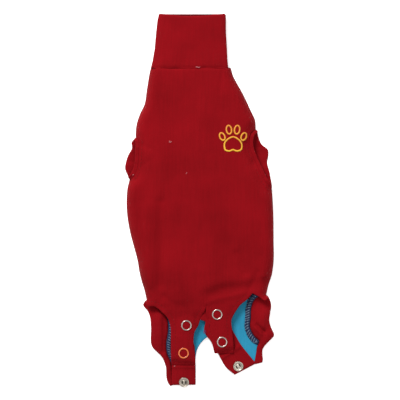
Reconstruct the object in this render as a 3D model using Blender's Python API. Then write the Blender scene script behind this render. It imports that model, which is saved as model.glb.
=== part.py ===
"""Knitted recovery shirt for a cat or a small dog, unworn and lying on its belly panel.

Metres, +Z up, neck towards +Y, the wearer's back facing up. Every cloth piece is a sheet of its
own wall: its outline runs through short tables of marks, and its height is worked out from the
loft of the body, the stack of layers under the straps and a table of folds.
"""

import math
from collections import namedtuple

import bmesh
import bpy
import numpy as np
from mathutils import Vector, geometry

# Lengths of the shirt
COLLAR_LENGTH = 0.0543
COLLAR_WIDTH = 0.070
COLLAR_HEIGHT = 0.0108
TORSO_LENGTH = 0.232
TORSO_WIDTH = 0.146
TORSO_HEIGHT = 0.0118
SEAT_LENGTH = 0.0865
STRAP_WIDTH = 0.023
TAB_WIDTH = 0.023

# Walls of the cloth, and the clearance between sewn or snapped pieces
KNIT_WALL = 0.0012
LINING_WALL = 0.0008
COLLAR_WALL = 0.0024
BAND_WALL = 0.0024
HEM_WALL = 0.0014
SEAM_GAP = 0.0004
LAYER_GAP = 0.0003

# Rounding and loft
SIDE_ROLL = 0.0085
FOLD_RADIUS = 0.0014
BAND_LOFT = 0.0032
STRAP_DROOP = 0.0009
HEM_DROOP = 0.0020
MOUTH_DIP = 0.0018
COLLAR_SQUARENESS = 3.4
HEM_REACH = 0.0035
HEM_SPAN = 0.80  # share of the hole's edge that the hem's middle runs along
NEAR_HEM = 0.0060
LINING_START = 0.012  # how far the lining starts from the hips
HIP_CLEARANCE = 0.0025  # how far the hind leg bands start from the ends of the side seams

# Snap fasteners
RING_DIAMETER = 0.0105
RING_RIM = 0.0013
RING_HEIGHT = 0.0008
SOCKET_DIAMETER = 0.0106
SOCKET_HEIGHT = 0.0022
SOCKET_BORE = 0.0050
STUD_DIAMETER = 0.0086
STUD_FLANGE = 0.0006
STUD_POST = 0.0038
STUD_REACH = 0.0014
SNAP_PITCH = 0.028
SOCKET_PITCH = 0.029
STRAP_END = 0.0115

# Fineness of the meshes
EDGE_STEP = 0.0052
FINE_STEP = 0.0005
CELL = 0.0086
ROUND_SIDES = 20
COLLAR_SIDES = 36
HEM_SIDES = 28
TAB_COLUMNS = 5
FOLD_STEPS = 6

# Colours of the cloth and the metal
RED_KNIT = (0.28, 0.008, 0.012)
TURQUOISE_KNIT = (0.025, 0.22, 0.38)
NICKEL = (0.62, 0.58, 0.54)
ORANGE_ENAMEL = (0.80, 0.17, 0.03)

# Layers from the floor up, under the straps
LINING_BOTTOM = KNIT_WALL + LAYER_GAP
BACK_RIM = KNIT_WALL + LAYER_GAP
TAB_BOTTOM = 2 * FOLD_RADIUS
TAB_TOP = TAB_BOTTOM + KNIT_WALL
SOCKET_BOTTOM = TAB_TOP + LAYER_GAP
SOCKET_TOP = SOCKET_BOTTOM + SOCKET_HEIGHT
STUD_BOTTOM = SOCKET_TOP + LAYER_GAP
STRAP_BOTTOM = STUD_BOTTOM + STUD_FLANGE + LAYER_GAP
STRAP_TOP = STRAP_BOTTOM + KNIT_WALL
RING_BOTTOM = STRAP_TOP + LAYER_GAP
SNAP_FLAT = max(RING_DIAMETER, STUD_DIAMETER) / 2 + 2 * LAYER_GAP  # radius of flat strap at a snap

# Places in the shirt's own frame
OVERALL_LENGTH = COLLAR_LENGTH + TORSO_LENGTH + SEAT_LENGTH
NECK_SEAM = OVERALL_LENGTH / 2 - COLLAR_LENGTH
NECK_SHARE = 0.480  # the collar's width over the torso's, which the first marks are drawn for
YOKE = 0.25  # share of the torso over which its width passes from the collar's to its own
BOX_CENTRE = (0.0006, -0.0005)  # of the whole shirt, which leans a little off its own middle line
LOFT_STATIONS = (0.00, 0.22, 0.88, 0.99, 1.08)  # along, where the back's height is given by loft

Mark = namedtuple("Mark", "across along")
StrapMark = namedtuple("StrapMark", "side reach")
Strap = namedtuple("Strap", "snap lean")
Tab = namedtuple("Tab", "lean")
Fold = namedtuple("Fold", "across along to_across to_along width depth")
CollarRow = namedtuple("CollarRow", "along left right height")

# Marks: across is a share of the torso's width from the middle line. Along is a share of the
# torso's length from the collar seam, and past 1 it runs on by shares of the seat's length.
LEFT_SIDE_FRONT = [
    Mark(-0.332, 0.000),
    Mark(-0.343, 0.034),
    Mark(-0.360, 0.103),
    Mark(-0.373, 0.155),
    Mark(-0.408, 0.203),
    Mark(-0.430, 0.250),
    Mark(-0.435, 0.293),
]
LEFT_ARM_EDGE = [
    Mark(-0.435, 0.293),
    Mark(-0.411, 0.313),
    Mark(-0.411, 0.353),
    Mark(-0.414, 0.397),
    Mark(-0.425, 0.440),
    Mark(-0.449, 0.470),
    Mark(-0.477, 0.483),
]
LEFT_SIDE_REAR = [
    Mark(-0.477, 0.483),
    Mark(-0.490, 0.517),
    Mark(-0.497, 0.578),
    Mark(-0.491, 0.642),
    Mark(-0.473, 0.707),
    Mark(-0.446, 0.772),
    Mark(-0.421, 0.832),
    Mark(-0.410, 0.875),
    Mark(-0.394, 0.918),
    Mark(-0.373, 0.961),
    Mark(-0.361, 0.996),
]
LEFT_HIP_EDGE = [
    Mark(-0.361, 0.996),
    Mark(-0.365, 1.035),
    Mark(-0.356, 1.062),
    Mark(-0.312, 1.069),
    Mark(-0.250, 1.145),
    Mark(-0.214, 1.214),
]
LEFT_NOTCH_EDGE = [Mark(0.007, 1.197), Mark(0.034, 1.121), Mark(0.050, 1.054)]
RIGHT_NOTCH_EDGE = [Mark(0.050, 1.054), Mark(0.047, 1.140)]
RIGHT_HIP_EDGE = [
    Mark(0.236, 1.156),
    Mark(0.284, 1.044),
    Mark(0.325, 0.996),
    Mark(0.362, 0.969),
]
RIGHT_EAR = [
    Mark(0.362, 0.969),
    Mark(0.408, 0.983),
    Mark(0.452, 0.999),
    Mark(0.464, 0.989),
    Mark(0.456, 0.976),
]
RIGHT_SIDE_REAR = [
    Mark(0.456, 0.976),
    Mark(0.468, 0.940),
    Mark(0.493, 0.892),
    Mark(0.505, 0.836),
    Mark(0.505, 0.741),
    Mark(0.504, 0.655),
    Mark(0.500, 0.582),
    Mark(0.494, 0.526),
]
RIGHT_ARM_EDGE = [
    Mark(0.494, 0.526),
    Mark(0.445, 0.491),
    Mark(0.401, 0.435),
    Mark(0.365, 0.384),
    Mark(0.341, 0.341),
    Mark(0.338, 0.302),
    Mark(0.353, 0.276),
    Mark(0.382, 0.265),
]
RIGHT_SIDE_FRONT = [
    Mark(0.382, 0.265),
    Mark(0.377, 0.224),
    Mark(0.349, 0.185),
    Mark(0.315, 0.138),
    Mark(0.284, 0.099),
    Mark(0.253, 0.065),
    Mark(0.226, 0.032),
    Mark(0.212, 0.000),
]

# Free mouths of the front leg hems, from the neck end of each hole to its rear end
LEFT_ARM_MOUTH = [
    Mark(-0.438, 0.303),
    Mark(-0.467, 0.321),
    Mark(-0.462, 0.343),
    Mark(-0.486, 0.375),
    Mark(-0.503, 0.409),
    Mark(-0.510, 0.435),
    Mark(-0.497, 0.459),
    Mark(-0.484, 0.474),
]
RIGHT_ARM_MOUTH = [
    Mark(0.395, 0.272),
    Mark(0.428, 0.330),
    Mark(0.466, 0.353),
    Mark(0.468, 0.379),
    Mark(0.462, 0.405),
    Mark(0.479, 0.448),
    Mark(0.492, 0.487),
    Mark(0.497, 0.513),
]

# The belly's leg edges, from the hip to the folded tab, and the outer edges of the bands there
LEFT_LEG_EDGE = [
    Mark(-0.361, 0.996),
    Mark(-0.325, 1.046),
    Mark(-0.277, 1.098),
    Mark(-0.233, 1.168),
    Mark(-0.216, 1.266),
    Mark(-0.217, 1.393),
    Mark(-0.228, 1.520),
    Mark(-0.222, 1.624),
    Mark(-0.195, 1.728),
]
LEFT_BAND_EDGE = [
    Mark(-0.373, 1.018),
    Mark(-0.386, 1.058),
    Mark(-0.358, 1.122),
    Mark(-0.344, 1.185),
    Mark(-0.336, 1.312),
    Mark(-0.328, 1.543),
    Mark(-0.257, 1.671),
    Mark(-0.236, 1.763),
    Mark(-0.216, 1.960),
    Mark(-0.204, 1.995),
]
RIGHT_LEG_EDGE = [
    Mark(0.456, 0.976),
    Mark(0.415, 0.983),
    Mark(0.377, 1.000),
    Mark(0.356, 1.081),
    Mark(0.351, 1.208),
    Mark(0.347, 1.324),
    Mark(0.379, 1.431),
    Mark(0.409, 1.486),
    Mark(0.396, 1.538),
    Mark(0.389, 1.613),
]
RIGHT_BAND_EDGE = [
    Mark(0.473, 0.988),
    Mark(0.483, 1.004),
    Mark(0.491, 1.058),
    Mark(0.487, 1.162),
    Mark(0.482, 1.243),
    Mark(0.495, 1.324),
    Mark(0.515, 1.405),
    Mark(0.469, 1.503),
    Mark(0.437, 1.566),
    Mark(0.434, 1.717),
]
TAIL_ARCH = [
    Mark(-0.030, 1.810),
    Mark(-0.030, 1.659),
    Mark(-0.014, 1.555),
    Mark(0.017, 1.480),
    Mark(0.062, 1.425),
    Mark(0.103, 1.468),
    Mark(0.137, 1.595),
    Mark(0.183, 1.745),
]
LINING_FRONT = [Mark(0.345, 0.950), Mark(0.300, 0.880), Mark(-0.230, 0.880), Mark(-0.300, 0.950)]

# The line that runs through each strap's snaps: its first snap, and its lean from the shirt's
# length towards +X in degrees. StrapMark: side is a share of the strap's width from that line,
# and reach counts 0 at the first snap, 1 at the second and 2 at the strap's end.
LEFT_STRAP = Strap(Mark(-0.090, 1.294), -5.7)
RIGHT_STRAP = Strap(Mark(0.1205, 1.168), 10.1)
LEFT_STRAP_OUTER = [
    StrapMark(-0.670, 0.08),
    StrapMark(-0.590, 0.57),
    StrapMark(-0.530, 1.08),
    StrapMark(-0.460, 2.10),
]
LEFT_STRAP_INNER = [
    StrapMark(0.530, 1.92),
    StrapMark(0.480, 1.15),
    StrapMark(0.375, 0.64),
    StrapMark(0.370, 0.21),
    StrapMark(0.500, -0.05),
]
RIGHT_STRAP_INNER = [
    StrapMark(-0.532, 0.20),
    StrapMark(-0.661, 0.50),
    StrapMark(-0.583, 0.71),
    StrapMark(-0.463, 0.89),
    StrapMark(-0.406, 1.29),
    StrapMark(-0.398, 1.86),
]
RIGHT_STRAP_OUTER = [
    StrapMark(0.403, 2.13),
    StrapMark(0.457, 1.33),
    StrapMark(0.507, 0.64),
    StrapMark(0.554, 0.28),
]

# The tabs, folded up over themselves under the straps. Their line runs through their sockets,
# the hidden one under the strap's second snap. StrapMark again, with side in shares of the
# tab's width and reach in shares of the sockets' pitch, 0 at the hidden one, 1 at the showing.
LEFT_TAB = Tab(0.8)
RIGHT_TAB = Tab(33.6)
LEFT_TAB_SIDES = [
    (StrapMark(-0.505, 1.092), StrapMark(0.480, 1.092)),
    (StrapMark(-0.505, 0.700), StrapMark(0.480, 0.700)),
    (StrapMark(-0.505, 0.300), StrapMark(0.480, 0.300)),
    (StrapMark(-0.505, 0.000), StrapMark(0.480, 0.000)),
    (StrapMark(-0.480, -0.280), StrapMark(0.450, -0.280)),
]
RIGHT_TAB_SIDES = [
    (StrapMark(-0.325, 1.180), StrapMark(0.680, 1.260)),
    (StrapMark(-0.452, 0.780), StrapMark(0.648, 0.980)),
    (StrapMark(-0.413, 0.360), StrapMark(0.590, 0.420)),
    (StrapMark(-0.391, 0.000), StrapMark(0.620, 0.050)),
    (StrapMark(-0.320, -0.270), StrapMark(0.640, -0.270)),
]

# Folds of the back: ridges with a depth over 0 and valleys under it. Width is a share of the
# torso's width and depth one of its height.
FOLDS = [
    Fold(-0.264, 0.58, -0.264, 0.95, 0.035, -0.070),
    Fold(-0.360, 0.60, -0.345, 0.93, 0.045, 0.055),
    Fold(0.155, 0.56, 0.155, 0.72, 0.080, -0.070),
    Fold(0.257, 0.80, 0.312, 0.88, 0.030, -0.060),
    Fold(-0.065, 0.99, 0.038, 0.957, 0.040, -0.150),
    Fold(0.038, 0.957, 0.188, 0.935, 0.045, -0.150),
    Fold(0.188, 0.935, 0.332, 0.910, 0.045, -0.110),
    Fold(0.060, 1.010, 0.120, 0.978, 0.035, 0.090),
    Fold(0.120, 0.978, 0.280, 0.955, 0.035, 0.080),
    Fold(0.325, 0.330, 0.373, 0.410, 0.030, -0.080),
    Fold(0.373, 0.410, 0.440, 0.530, 0.030, -0.070),
    Fold(-0.200, 0.16, -0.170, 0.44, 0.070, -0.040),
]

# The collar's sections, from its seam to its mouth: left and right are shares of its width
COLLAR_ROWS = [
    CollarRow(0.00, -0.692, 0.441, 1.00),
    CollarRow(0.12, -0.672, 0.416, 1.00),
    CollarRow(0.35, -0.642, 0.393, 0.96),
    CollarRow(0.65, -0.622, 0.380, 0.95),
    CollarRow(0.88, -0.602, 0.379, 0.97),
    CollarRow(0.97, -0.584, 0.379, 0.97),
]


def station(along):
    """Distance from the collar seam for a mark's along value."""
    return TORSO_LENGTH * min(along, 1.0) + SEAT_LENGTH * max(along - 1.0, 0.0)


def eased(share):
    share = np.clip(share, 0.0, 1.0)
    return share * share * (3.0 - 2.0 * share)


def width_at(along):
    neck = COLLAR_WIDTH / NECK_SHARE
    return neck + (TORSO_WIDTH - neck) * float(eased(along / YOKE))


def place(mark):
    return np.array([mark.across * width_at(mark.along), NECK_SEAM - station(mark.along)])


def lean_axes(lean):
    """The direction towards the rear that leans to +X by so many degrees, and the one to its side."""
    angle = math.radians(lean)
    return np.array([math.sin(angle), -math.cos(angle)]), np.array([math.cos(angle), math.sin(angle)])


def strap_place(strap, mark):
    down, side = lean_axes(strap.lean)
    run = SNAP_PITCH * min(mark.reach, 1.0) + STRAP_END * max(mark.reach - 1.0, 0.0)
    return place(strap.snap) + down * run + side * mark.side * STRAP_WIDTH


def snap_places(strap):
    return [strap_place(strap, StrapMark(0.0, reach)) for reach in (0.0, 1.0)]


def tab_place(strap, tab, mark):
    down, side = lean_axes(tab.lean)
    return snap_places(strap)[1] + down * mark.reach * SOCKET_PITCH + side * mark.side * TAB_WIDTH


def curve_through(points, step=EDGE_STEP):
    """Points about a step apart on a smooth curve through the given ones."""
    points = np.array(points)
    lengths = np.linalg.norm(np.diff(points, axis=0), axis=1)[:, None]
    slopes = np.diff(points, axis=0) / lengths
    middle = (slopes[:-1] * lengths[1:] + slopes[1:] * lengths[:-1]) / (lengths[1:] + lengths[:-1])
    tangents = np.vstack([slopes[:1], middle, slopes[-1:]])
    found = []
    for i, length in enumerate(lengths[:, 0]):
        parts = max(1, round(length / step))
        for t in np.arange(parts) / parts:
            found.append(
                points[i] * (1 + 2 * t) * (1 - t) ** 2
                + points[i + 1] * t * t * (3 - 2 * t)
                + tangents[i] * length * t * (1 - t) ** 2
                - tangents[i + 1] * length * t * t * (1 - t)
            )
    return np.array(found + [points[-1]])


def evenly(line, step=EDGE_STEP):
    """The line again, with its points a whole number of equal steps apart."""
    gone = np.r_[0.0, np.cumsum(np.linalg.norm(np.diff(line, axis=0), axis=1))]
    stops = np.linspace(0.0, gone[-1], max(2, round(gone[-1] / step) + 1))
    return np.column_stack([np.interp(stops, gone, line[:, i]) for i in (0, 1)])


def marked(marks, step=EDGE_STEP):
    return curve_through([place(mark) for mark in marks], step)


def closed_outline(*runs):
    """One outline of the runs in turn, with each shared corner kept once."""
    spots = []
    for spot in np.vstack(runs):
        if not spots or np.linalg.norm(spot - spots[-1]) > 1e-5:
            spots.append(spot)
    if np.linalg.norm(spots[0] - spots[-1]) < 1e-5:
        spots.pop()
    return np.array(spots)


def shifted(line, amount):
    """The line moved to its left by an amount, as seen along it."""
    ahead = np.gradient(line, axis=0)
    ahead /= np.linalg.norm(ahead, axis=1)[:, None]
    return line + np.column_stack([-ahead[:, 1], ahead[:, 0]]) * amount


def distance(points, line):
    """How far each point lies from a line of points."""
    start, step = line[:-1], np.diff(line, axis=0)
    offset = points[:, None, :] - start[None, :, :]
    share = np.clip((offset * step).sum(2) / np.maximum((step * step).sum(1), 1e-18), 0.0, 1.0)
    return np.linalg.norm(offset - share[..., None] * step, axis=2).min(1)


def inside(points, outline):
    """Whether each point lies within a closed outline, by crossings of a ray towards +X."""
    start, end = outline, np.roll(outline, -1, axis=0)
    crosses = (start[:, 1] > points[:, None, 1]) != (end[:, 1] > points[:, None, 1])
    rise = np.where(end[:, 1] == start[:, 1], 1.0, end[:, 1] - start[:, 1])
    meets = start[:, 0] + (points[:, None, 1] - start[:, 1]) / rise * (end[:, 0] - start[:, 0])
    return (crosses & (points[:, None, 0] < meets)).sum(1) % 2 == 1


def filled(outline, cell, rows=()):
    """Corners and triangles that fill an outline, on a grid of cells and on the given rows."""
    closed = np.vstack([outline, outline[:1]])
    low, high = outline.min(0), outline.max(0)
    across, along = np.meshgrid(
        np.arange(low[0] + cell / 2, high[0], cell), np.arange(low[1] + cell / 2, high[1], cell)
    )
    across[1::2] += cell / 2
    grid = np.column_stack([across.ravel(), along.ravel()])
    grid = grid[inside(grid, outline)]
    grid = grid[distance(grid, closed) > 0.45 * cell]
    for row in rows:
        row = row[inside(row, outline)]
        row = row[distance(row, closed) > 0.0003]
        grid = grid[np.linalg.norm(grid[:, None] - row[None], axis=2).min(1) > 0.45 * cell]
        grid = np.vstack([grid, row])
    spots = [Vector(spot) for spot in np.vstack([outline, grid])]
    corners, _, triangles, *_ = geometry.delaunay_2d_cdt(
        spots, [], [list(range(len(outline)))], 1, 1e-7
    )
    return np.array([tuple(corner) for corner in corners]), [tuple(face) for face in triangles]


def finish(name, base_color, roughness, metallic=0.0):
    material = bpy.data.materials.new(name)
    material.use_nodes = True
    shader = material.node_tree.nodes["Principled BSDF"]
    shader.inputs["Base Color"].default_value = (*base_color, 1.0)
    shader.inputs["Roughness"].default_value = roughness
    shader.inputs["Metallic"].default_value = metallic
    return material


def as_object(name, corners, faces, base_color, roughness, metallic=0.0):
    """A node from corners and faces, with its normals facing out."""
    mesh = bpy.data.meshes.new(name)
    placed = np.asarray(corners) - np.array([*BOX_CENTRE, 0.0])
    mesh.from_pydata([tuple(corner) for corner in placed], [], [tuple(face) for face in faces])
    shape = bmesh.new()
    shape.from_mesh(mesh)
    bmesh.ops.recalc_face_normals(shape, faces=shape.faces)
    shape.to_mesh(mesh)
    shape.free()
    mesh.shade_smooth()
    mesh.materials.append(finish(name + "_finish", base_color, roughness, metallic))
    made = bpy.data.objects.new(name, mesh)
    bpy.context.scene.collection.objects.link(made)
    return made


def facing(corners, faces):
    """Unit normals at the corners of a surface, each an average over its faces."""
    normals = np.zeros_like(corners)
    for face in faces:
        a, b, c = (corners[face[i]] for i in (0, 1, -1))
        normal = np.cross(b - a, c - a)
        for corner in face:
            normals[corner] += normal
    return normals / np.linalg.norm(normals, axis=1)[:, None]


def cloth(name, corners, faces, wall, outward, lowest, base_color):
    """A sheet made a closed wall: a share of the wall lies outward of the surface, the rest inward."""
    normals = facing(corners, faces)
    outer = corners + normals * wall * outward
    inner = corners - normals * wall * (1.0 - outward)
    inner[:, 2] = np.maximum(inner[:, 2], lowest)
    outer[:, 2] = np.maximum(outer[:, 2], lowest)
    count = len(corners)
    edges = {(face[i - 1], face[i]) for face in faces for i in range(len(face))}
    shell = [tuple(face) for face in faces]
    shell += [tuple(corner + count for corner in reversed(face)) for face in faces]
    shell += [(b, a, a + count, b + count) for a, b in edges if (b, a) not in edges]
    return as_object(name, np.vstack([outer, inner]), shell, base_color, 0.85)


def knit_sheet(name, outline, height, wall, outward, lowest, base_color, rows=(), cell=CELL):
    corners, faces = filled(outline, cell, rows)
    corners = np.column_stack([corners, height(corners)])
    return cloth(name, corners, faces, wall, outward, lowest, base_color)


def looped(loops):
    """Faces that join loops of equally many corners, each to the next and the last to the first."""
    count = len(loops[0])
    faces = []
    for i in range(len(loops)):
        j = (i + 1) % len(loops)
        for k in range(count):
            m = (k + 1) % count
            faces.append((i * count + k, i * count + m, j * count + m, j * count + k))
    return np.vstack(loops), faces


def turned(name, profile, centre, bottom, base_color, roughness):
    """A round piece turned about a vertical line through its centre. Profile: radius and height."""
    angles = np.arange(ROUND_SIDES) * 2 * math.pi / ROUND_SIDES
    ring = np.column_stack([np.cos(angles), np.sin(angles)])
    on_axis = profile[0][0] == 0.0
    loops = [
        np.column_stack([centre + ring * radius, np.full(ROUND_SIDES, bottom + height)])
        for radius, height in profile
        if radius > 0.0
    ]
    corners, faces = looped(loops)
    if on_axis:
        faces = faces[: (len(loops) - 1) * ROUND_SIDES]
        first, last = len(corners), len(corners) + 1
        tops = [(*centre, bottom + profile[0][1]), (*centre, bottom + profile[-1][1])]
        corners = np.vstack([corners, tops])
        rear = (len(loops) - 1) * ROUND_SIDES
        for k in range(ROUND_SIDES):
            m = (k + 1) % ROUND_SIDES
            faces.append((first, m, k))
            faces.append((last, rear + k, rear + m))
    return as_object(name, corners, faces, base_color, roughness, 1.0)


def side_seams():
    runs = (LEFT_SIDE_FRONT, LEFT_SIDE_REAR, RIGHT_SIDE_REAR, RIGHT_SIDE_FRONT)
    return [marked(run) for run in runs]


def loft(along):
    """Height of the back panel's outer face over its middle."""
    heights = (COLLAR_HEIGHT, TORSO_HEIGHT, TORSO_HEIGHT, (TORSO_HEIGHT + STRAP_TOP) / 2, STRAP_TOP)
    return np.interp(along, LOFT_STATIONS, heights)


def along_of(y):
    run = NECK_SEAM - y
    return np.where(run < TORSO_LENGTH, run / TORSO_LENGTH, 1.0 + (run - TORSO_LENGTH) / SEAT_LENGTH)


def folds_at(points):
    raised = np.zeros(len(points))
    for fold in FOLDS:
        line = np.array([place(Mark(fold.across, fold.along)), place(Mark(fold.to_across, fold.to_along))])
        away = distance(points, line) / (fold.width * TORSO_WIDTH)
        raised += fold.depth * TORSO_HEIGHT * np.exp(-away * away)
    return raised


def back_height(points):
    """Outer face of the back panel: a lofted middle, rolled over at the side seams."""
    along = along_of(points[:, 1])
    seam = np.min([distance(points, run) for run in side_seams()], axis=0)
    roll = np.sqrt(1.0 - (1.0 - np.clip(seam / SIDE_ROLL, 0.0, 1.0)) ** 2)
    crown = loft(along)
    hem = np.min([distance(points, marked(run)) for run in (LEFT_ARM_EDGE, RIGHT_ARM_EDGE)], axis=0)
    crown = crown - HEM_DROOP * np.exp(-((hem / NEAR_HEM) ** 2))
    for strap in (LEFT_STRAP, RIGHT_STRAP):
        line = np.array(snap_places(strap))
        off = eased((distance(points, line) - SNAP_FLAT) / (STRAP_WIDTH / 2 - SNAP_FLAT))
        near = distance(points, line) < STRAP_WIDTH
        crown = crown - np.where(near, STRAP_DROOP * off * eased((along - 1.10) / 0.12), 0.0)
    flat = eased((along - 1.00) / 0.09)
    return BACK_RIM + (crown - BACK_RIM) * roll + folds_at(points) * roll * (1.0 - flat)


def strap_outline(strap, marks):
    return [strap_place(strap, mark) for mark in marks]


def ring_round(centre):
    """Corners of the flat patch of strap that a snap is pressed through."""
    angles = np.arange(10) * 2 * math.pi / 10
    return centre + np.column_stack([np.cos(angles), np.sin(angles)]) * SNAP_FLAT


def back_panel():
    neck = [place(RIGHT_SIDE_FRONT[-1]), place(LEFT_SIDE_FRONT[0])]
    outline = closed_outline(
        marked(LEFT_SIDE_FRONT),
        marked(LEFT_ARM_EDGE),
        marked(LEFT_SIDE_REAR),
        curve_through([place(m) for m in LEFT_HIP_EDGE] + strap_outline(LEFT_STRAP, LEFT_STRAP_OUTER)),
        curve_through(
            strap_outline(LEFT_STRAP, LEFT_STRAP_INNER) + [place(m) for m in LEFT_NOTCH_EDGE]
        ),
        curve_through(
            [place(m) for m in RIGHT_NOTCH_EDGE] + strap_outline(RIGHT_STRAP, RIGHT_STRAP_INNER)
        ),
        curve_through(
            strap_outline(RIGHT_STRAP, RIGHT_STRAP_OUTER) + [place(m) for m in RIGHT_HIP_EDGE]
        ),
        marked(RIGHT_EAR),
        marked(RIGHT_SIDE_REAR),
        marked(RIGHT_ARM_EDGE),
        marked(RIGHT_SIDE_FRONT),
        curve_through(neck, 0.004)[1:-1],
    )
    rows = [shifted(run, SIDE_ROLL * share) for run in side_seams() for share in (0.05, 0.22, 0.55, 1.0)]
    rows += [ring_round(centre) for strap in (LEFT_STRAP, RIGHT_STRAP) for centre in snap_places(strap)]
    knit_sheet("back_panel", outline, back_height, KNIT_WALL, 0.0, BACK_RIM, RED_KNIT, rows)


def tab_rows(strap, tab, sides, columns):
    """Rows of a tab's middle surface, from the flat prong round the fold to its hidden end."""
    pairs = [[tab_place(strap, tab, mark) for mark in pair] for pair in sides]
    share = np.linspace(0.0, 1.0, columns)[:, None]
    edge = pairs[0][0] + (pairs[0][1] - pairs[0][0]) * share
    along_fold = (pairs[0][1] - pairs[0][0]) / np.linalg.norm(pairs[0][1] - pairs[0][0])
    inward = np.array([-along_fold[1], along_fold[0]])
    middle = KNIT_WALL / 2 + FOLD_RADIUS
    rows = []
    for turn in range(FOLD_STEPS + 1):
        angle = math.pi * (turn / FOLD_STEPS - 0.5)
        spots = edge + inward * FOLD_RADIUS * (1.0 - math.cos(angle))
        rows.append(np.column_stack([spots, np.full(columns, middle + FOLD_RADIUS * math.sin(angle))]))
    for left, right in pairs[1:]:
        spots = left + (right - left) * share
        rows.append(np.column_stack([spots, np.full(columns, middle + FOLD_RADIUS)]))
    return rows


def leg_line(marks, corner):
    """A leg edge of the belly, from the hip to the corner where a tab's fold starts."""
    return curve_through([place(mark) for mark in marks] + [corner], FINE_STEP)


def left_tab_rows():
    return tab_rows(LEFT_STRAP, LEFT_TAB, LEFT_TAB_SIDES, TAB_COLUMNS)


def right_tab_rows():
    return tab_rows(RIGHT_STRAP, RIGHT_TAB, RIGHT_TAB_SIDES, TAB_COLUMNS)


def arch_line(left, right):
    return curve_through([left[-1]] + [place(mark) for mark in TAIL_ARCH] + [right[0]])


def belly_outline(left, right):
    neck = [place(RIGHT_SIDE_FRONT[-1]), place(LEFT_SIDE_FRONT[0])]
    return closed_outline(
        marked(LEFT_SIDE_FRONT),
        marked(LEFT_ARM_EDGE),
        marked(LEFT_SIDE_REAR),
        evenly(leg_line(LEFT_LEG_EDGE, left[0])),
        left,
        arch_line(left, right),
        right,
        evenly(leg_line(RIGHT_LEG_EDGE, right[-1])[::-1]),
        marked(RIGHT_SIDE_REAR),
        marked(RIGHT_ARM_EDGE),
        marked(RIGHT_SIDE_FRONT),
        curve_through(neck, 0.010)[1:-1],
    )


def belly_panel():
    sets = (left_tab_rows(), right_tab_rows())
    outline = belly_outline(*[rows[0][:, :2] for rows in sets])
    corners, faces = filled(outline, 1.6 * CELL)
    corners = np.column_stack([corners, np.full(len(corners), KNIT_WALL / 2)])
    for rows in sets:
        ahead = [int(np.linalg.norm(corners - spot, axis=1).argmin()) for spot in rows[0]]
        for row in rows[1:]:
            fresh = list(range(len(corners), len(corners) + len(row)))
            corners = np.vstack([corners, row])
            for k in range(len(row) - 1):
                faces.append((ahead[k], fresh[k], fresh[k + 1], ahead[k + 1]))
            ahead = fresh
    cloth("belly_panel", corners, faces, KNIT_WALL, 0.5, 0.0, RED_KNIT)


def belly_lining():
    left, right = left_tab_rows()[0][:, :2], right_tab_rows()[0][:, :2]
    legs = []
    for marks, corner, inward in ((LEFT_LEG_EDGE, left[0], 1), (RIGHT_LEG_EDGE, right[-1], -1)):
        line = shifted(leg_line(marks, corner), inward * SEAM_GAP)
        legs.append(evenly(line[np.linalg.norm(line - line[0], axis=1) > LINING_START]))
    arch = arch_line(left, right)
    outline = closed_outline(legs[0], left[1:], arch, right[:-1], legs[1][::-1], marked(LINING_FRONT))
    knit_sheet(
        "belly_lining",
        outline,
        lambda points: np.full(len(points), LINING_BOTTOM),
        LINING_WALL,
        1.0,
        LINING_BOTTOM,
        TURQUOISE_KNIT,
        cell=1.5 * CELL,
    )


def hind_leg_band(name, leg_edge, band_edge, toward_leg, corner, tip):
    """A folded band sewn along a leg edge: flat at its two edges and ends, raised between them."""
    seam = np.vstack([leg_line(leg_edge, corner), tip])
    seam = seam[np.linalg.norm(seam - seam[0], axis=1) > HIP_CLEARANCE]
    inner = evenly(shifted(seam, toward_leg * SEAM_GAP))
    outer = marked(band_edge)
    outline = closed_outline(inner, outer[::-1]) if toward_leg < 0 else closed_outline(outer, inner[::-1])
    ends = np.array([(inner[0] + outer[0]) / 2, (inner[-1] + outer[-1]) / 2])

    def height(points):
        near, far = distance(points, inner), distance(points, outer)
        share = near / np.maximum(near + far, 1e-9)
        end = np.min([np.linalg.norm(points - spot, axis=1) for spot in ends], axis=0)
        return BAND_WALL + BAND_LOFT * np.sqrt(np.sin(math.pi * share)) * eased(end / 0.020 - 0.2)

    knit_sheet(name, outline, height, BAND_WALL, 0.0, 0.0, RED_KNIT, cell=0.55 * CELL)


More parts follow.
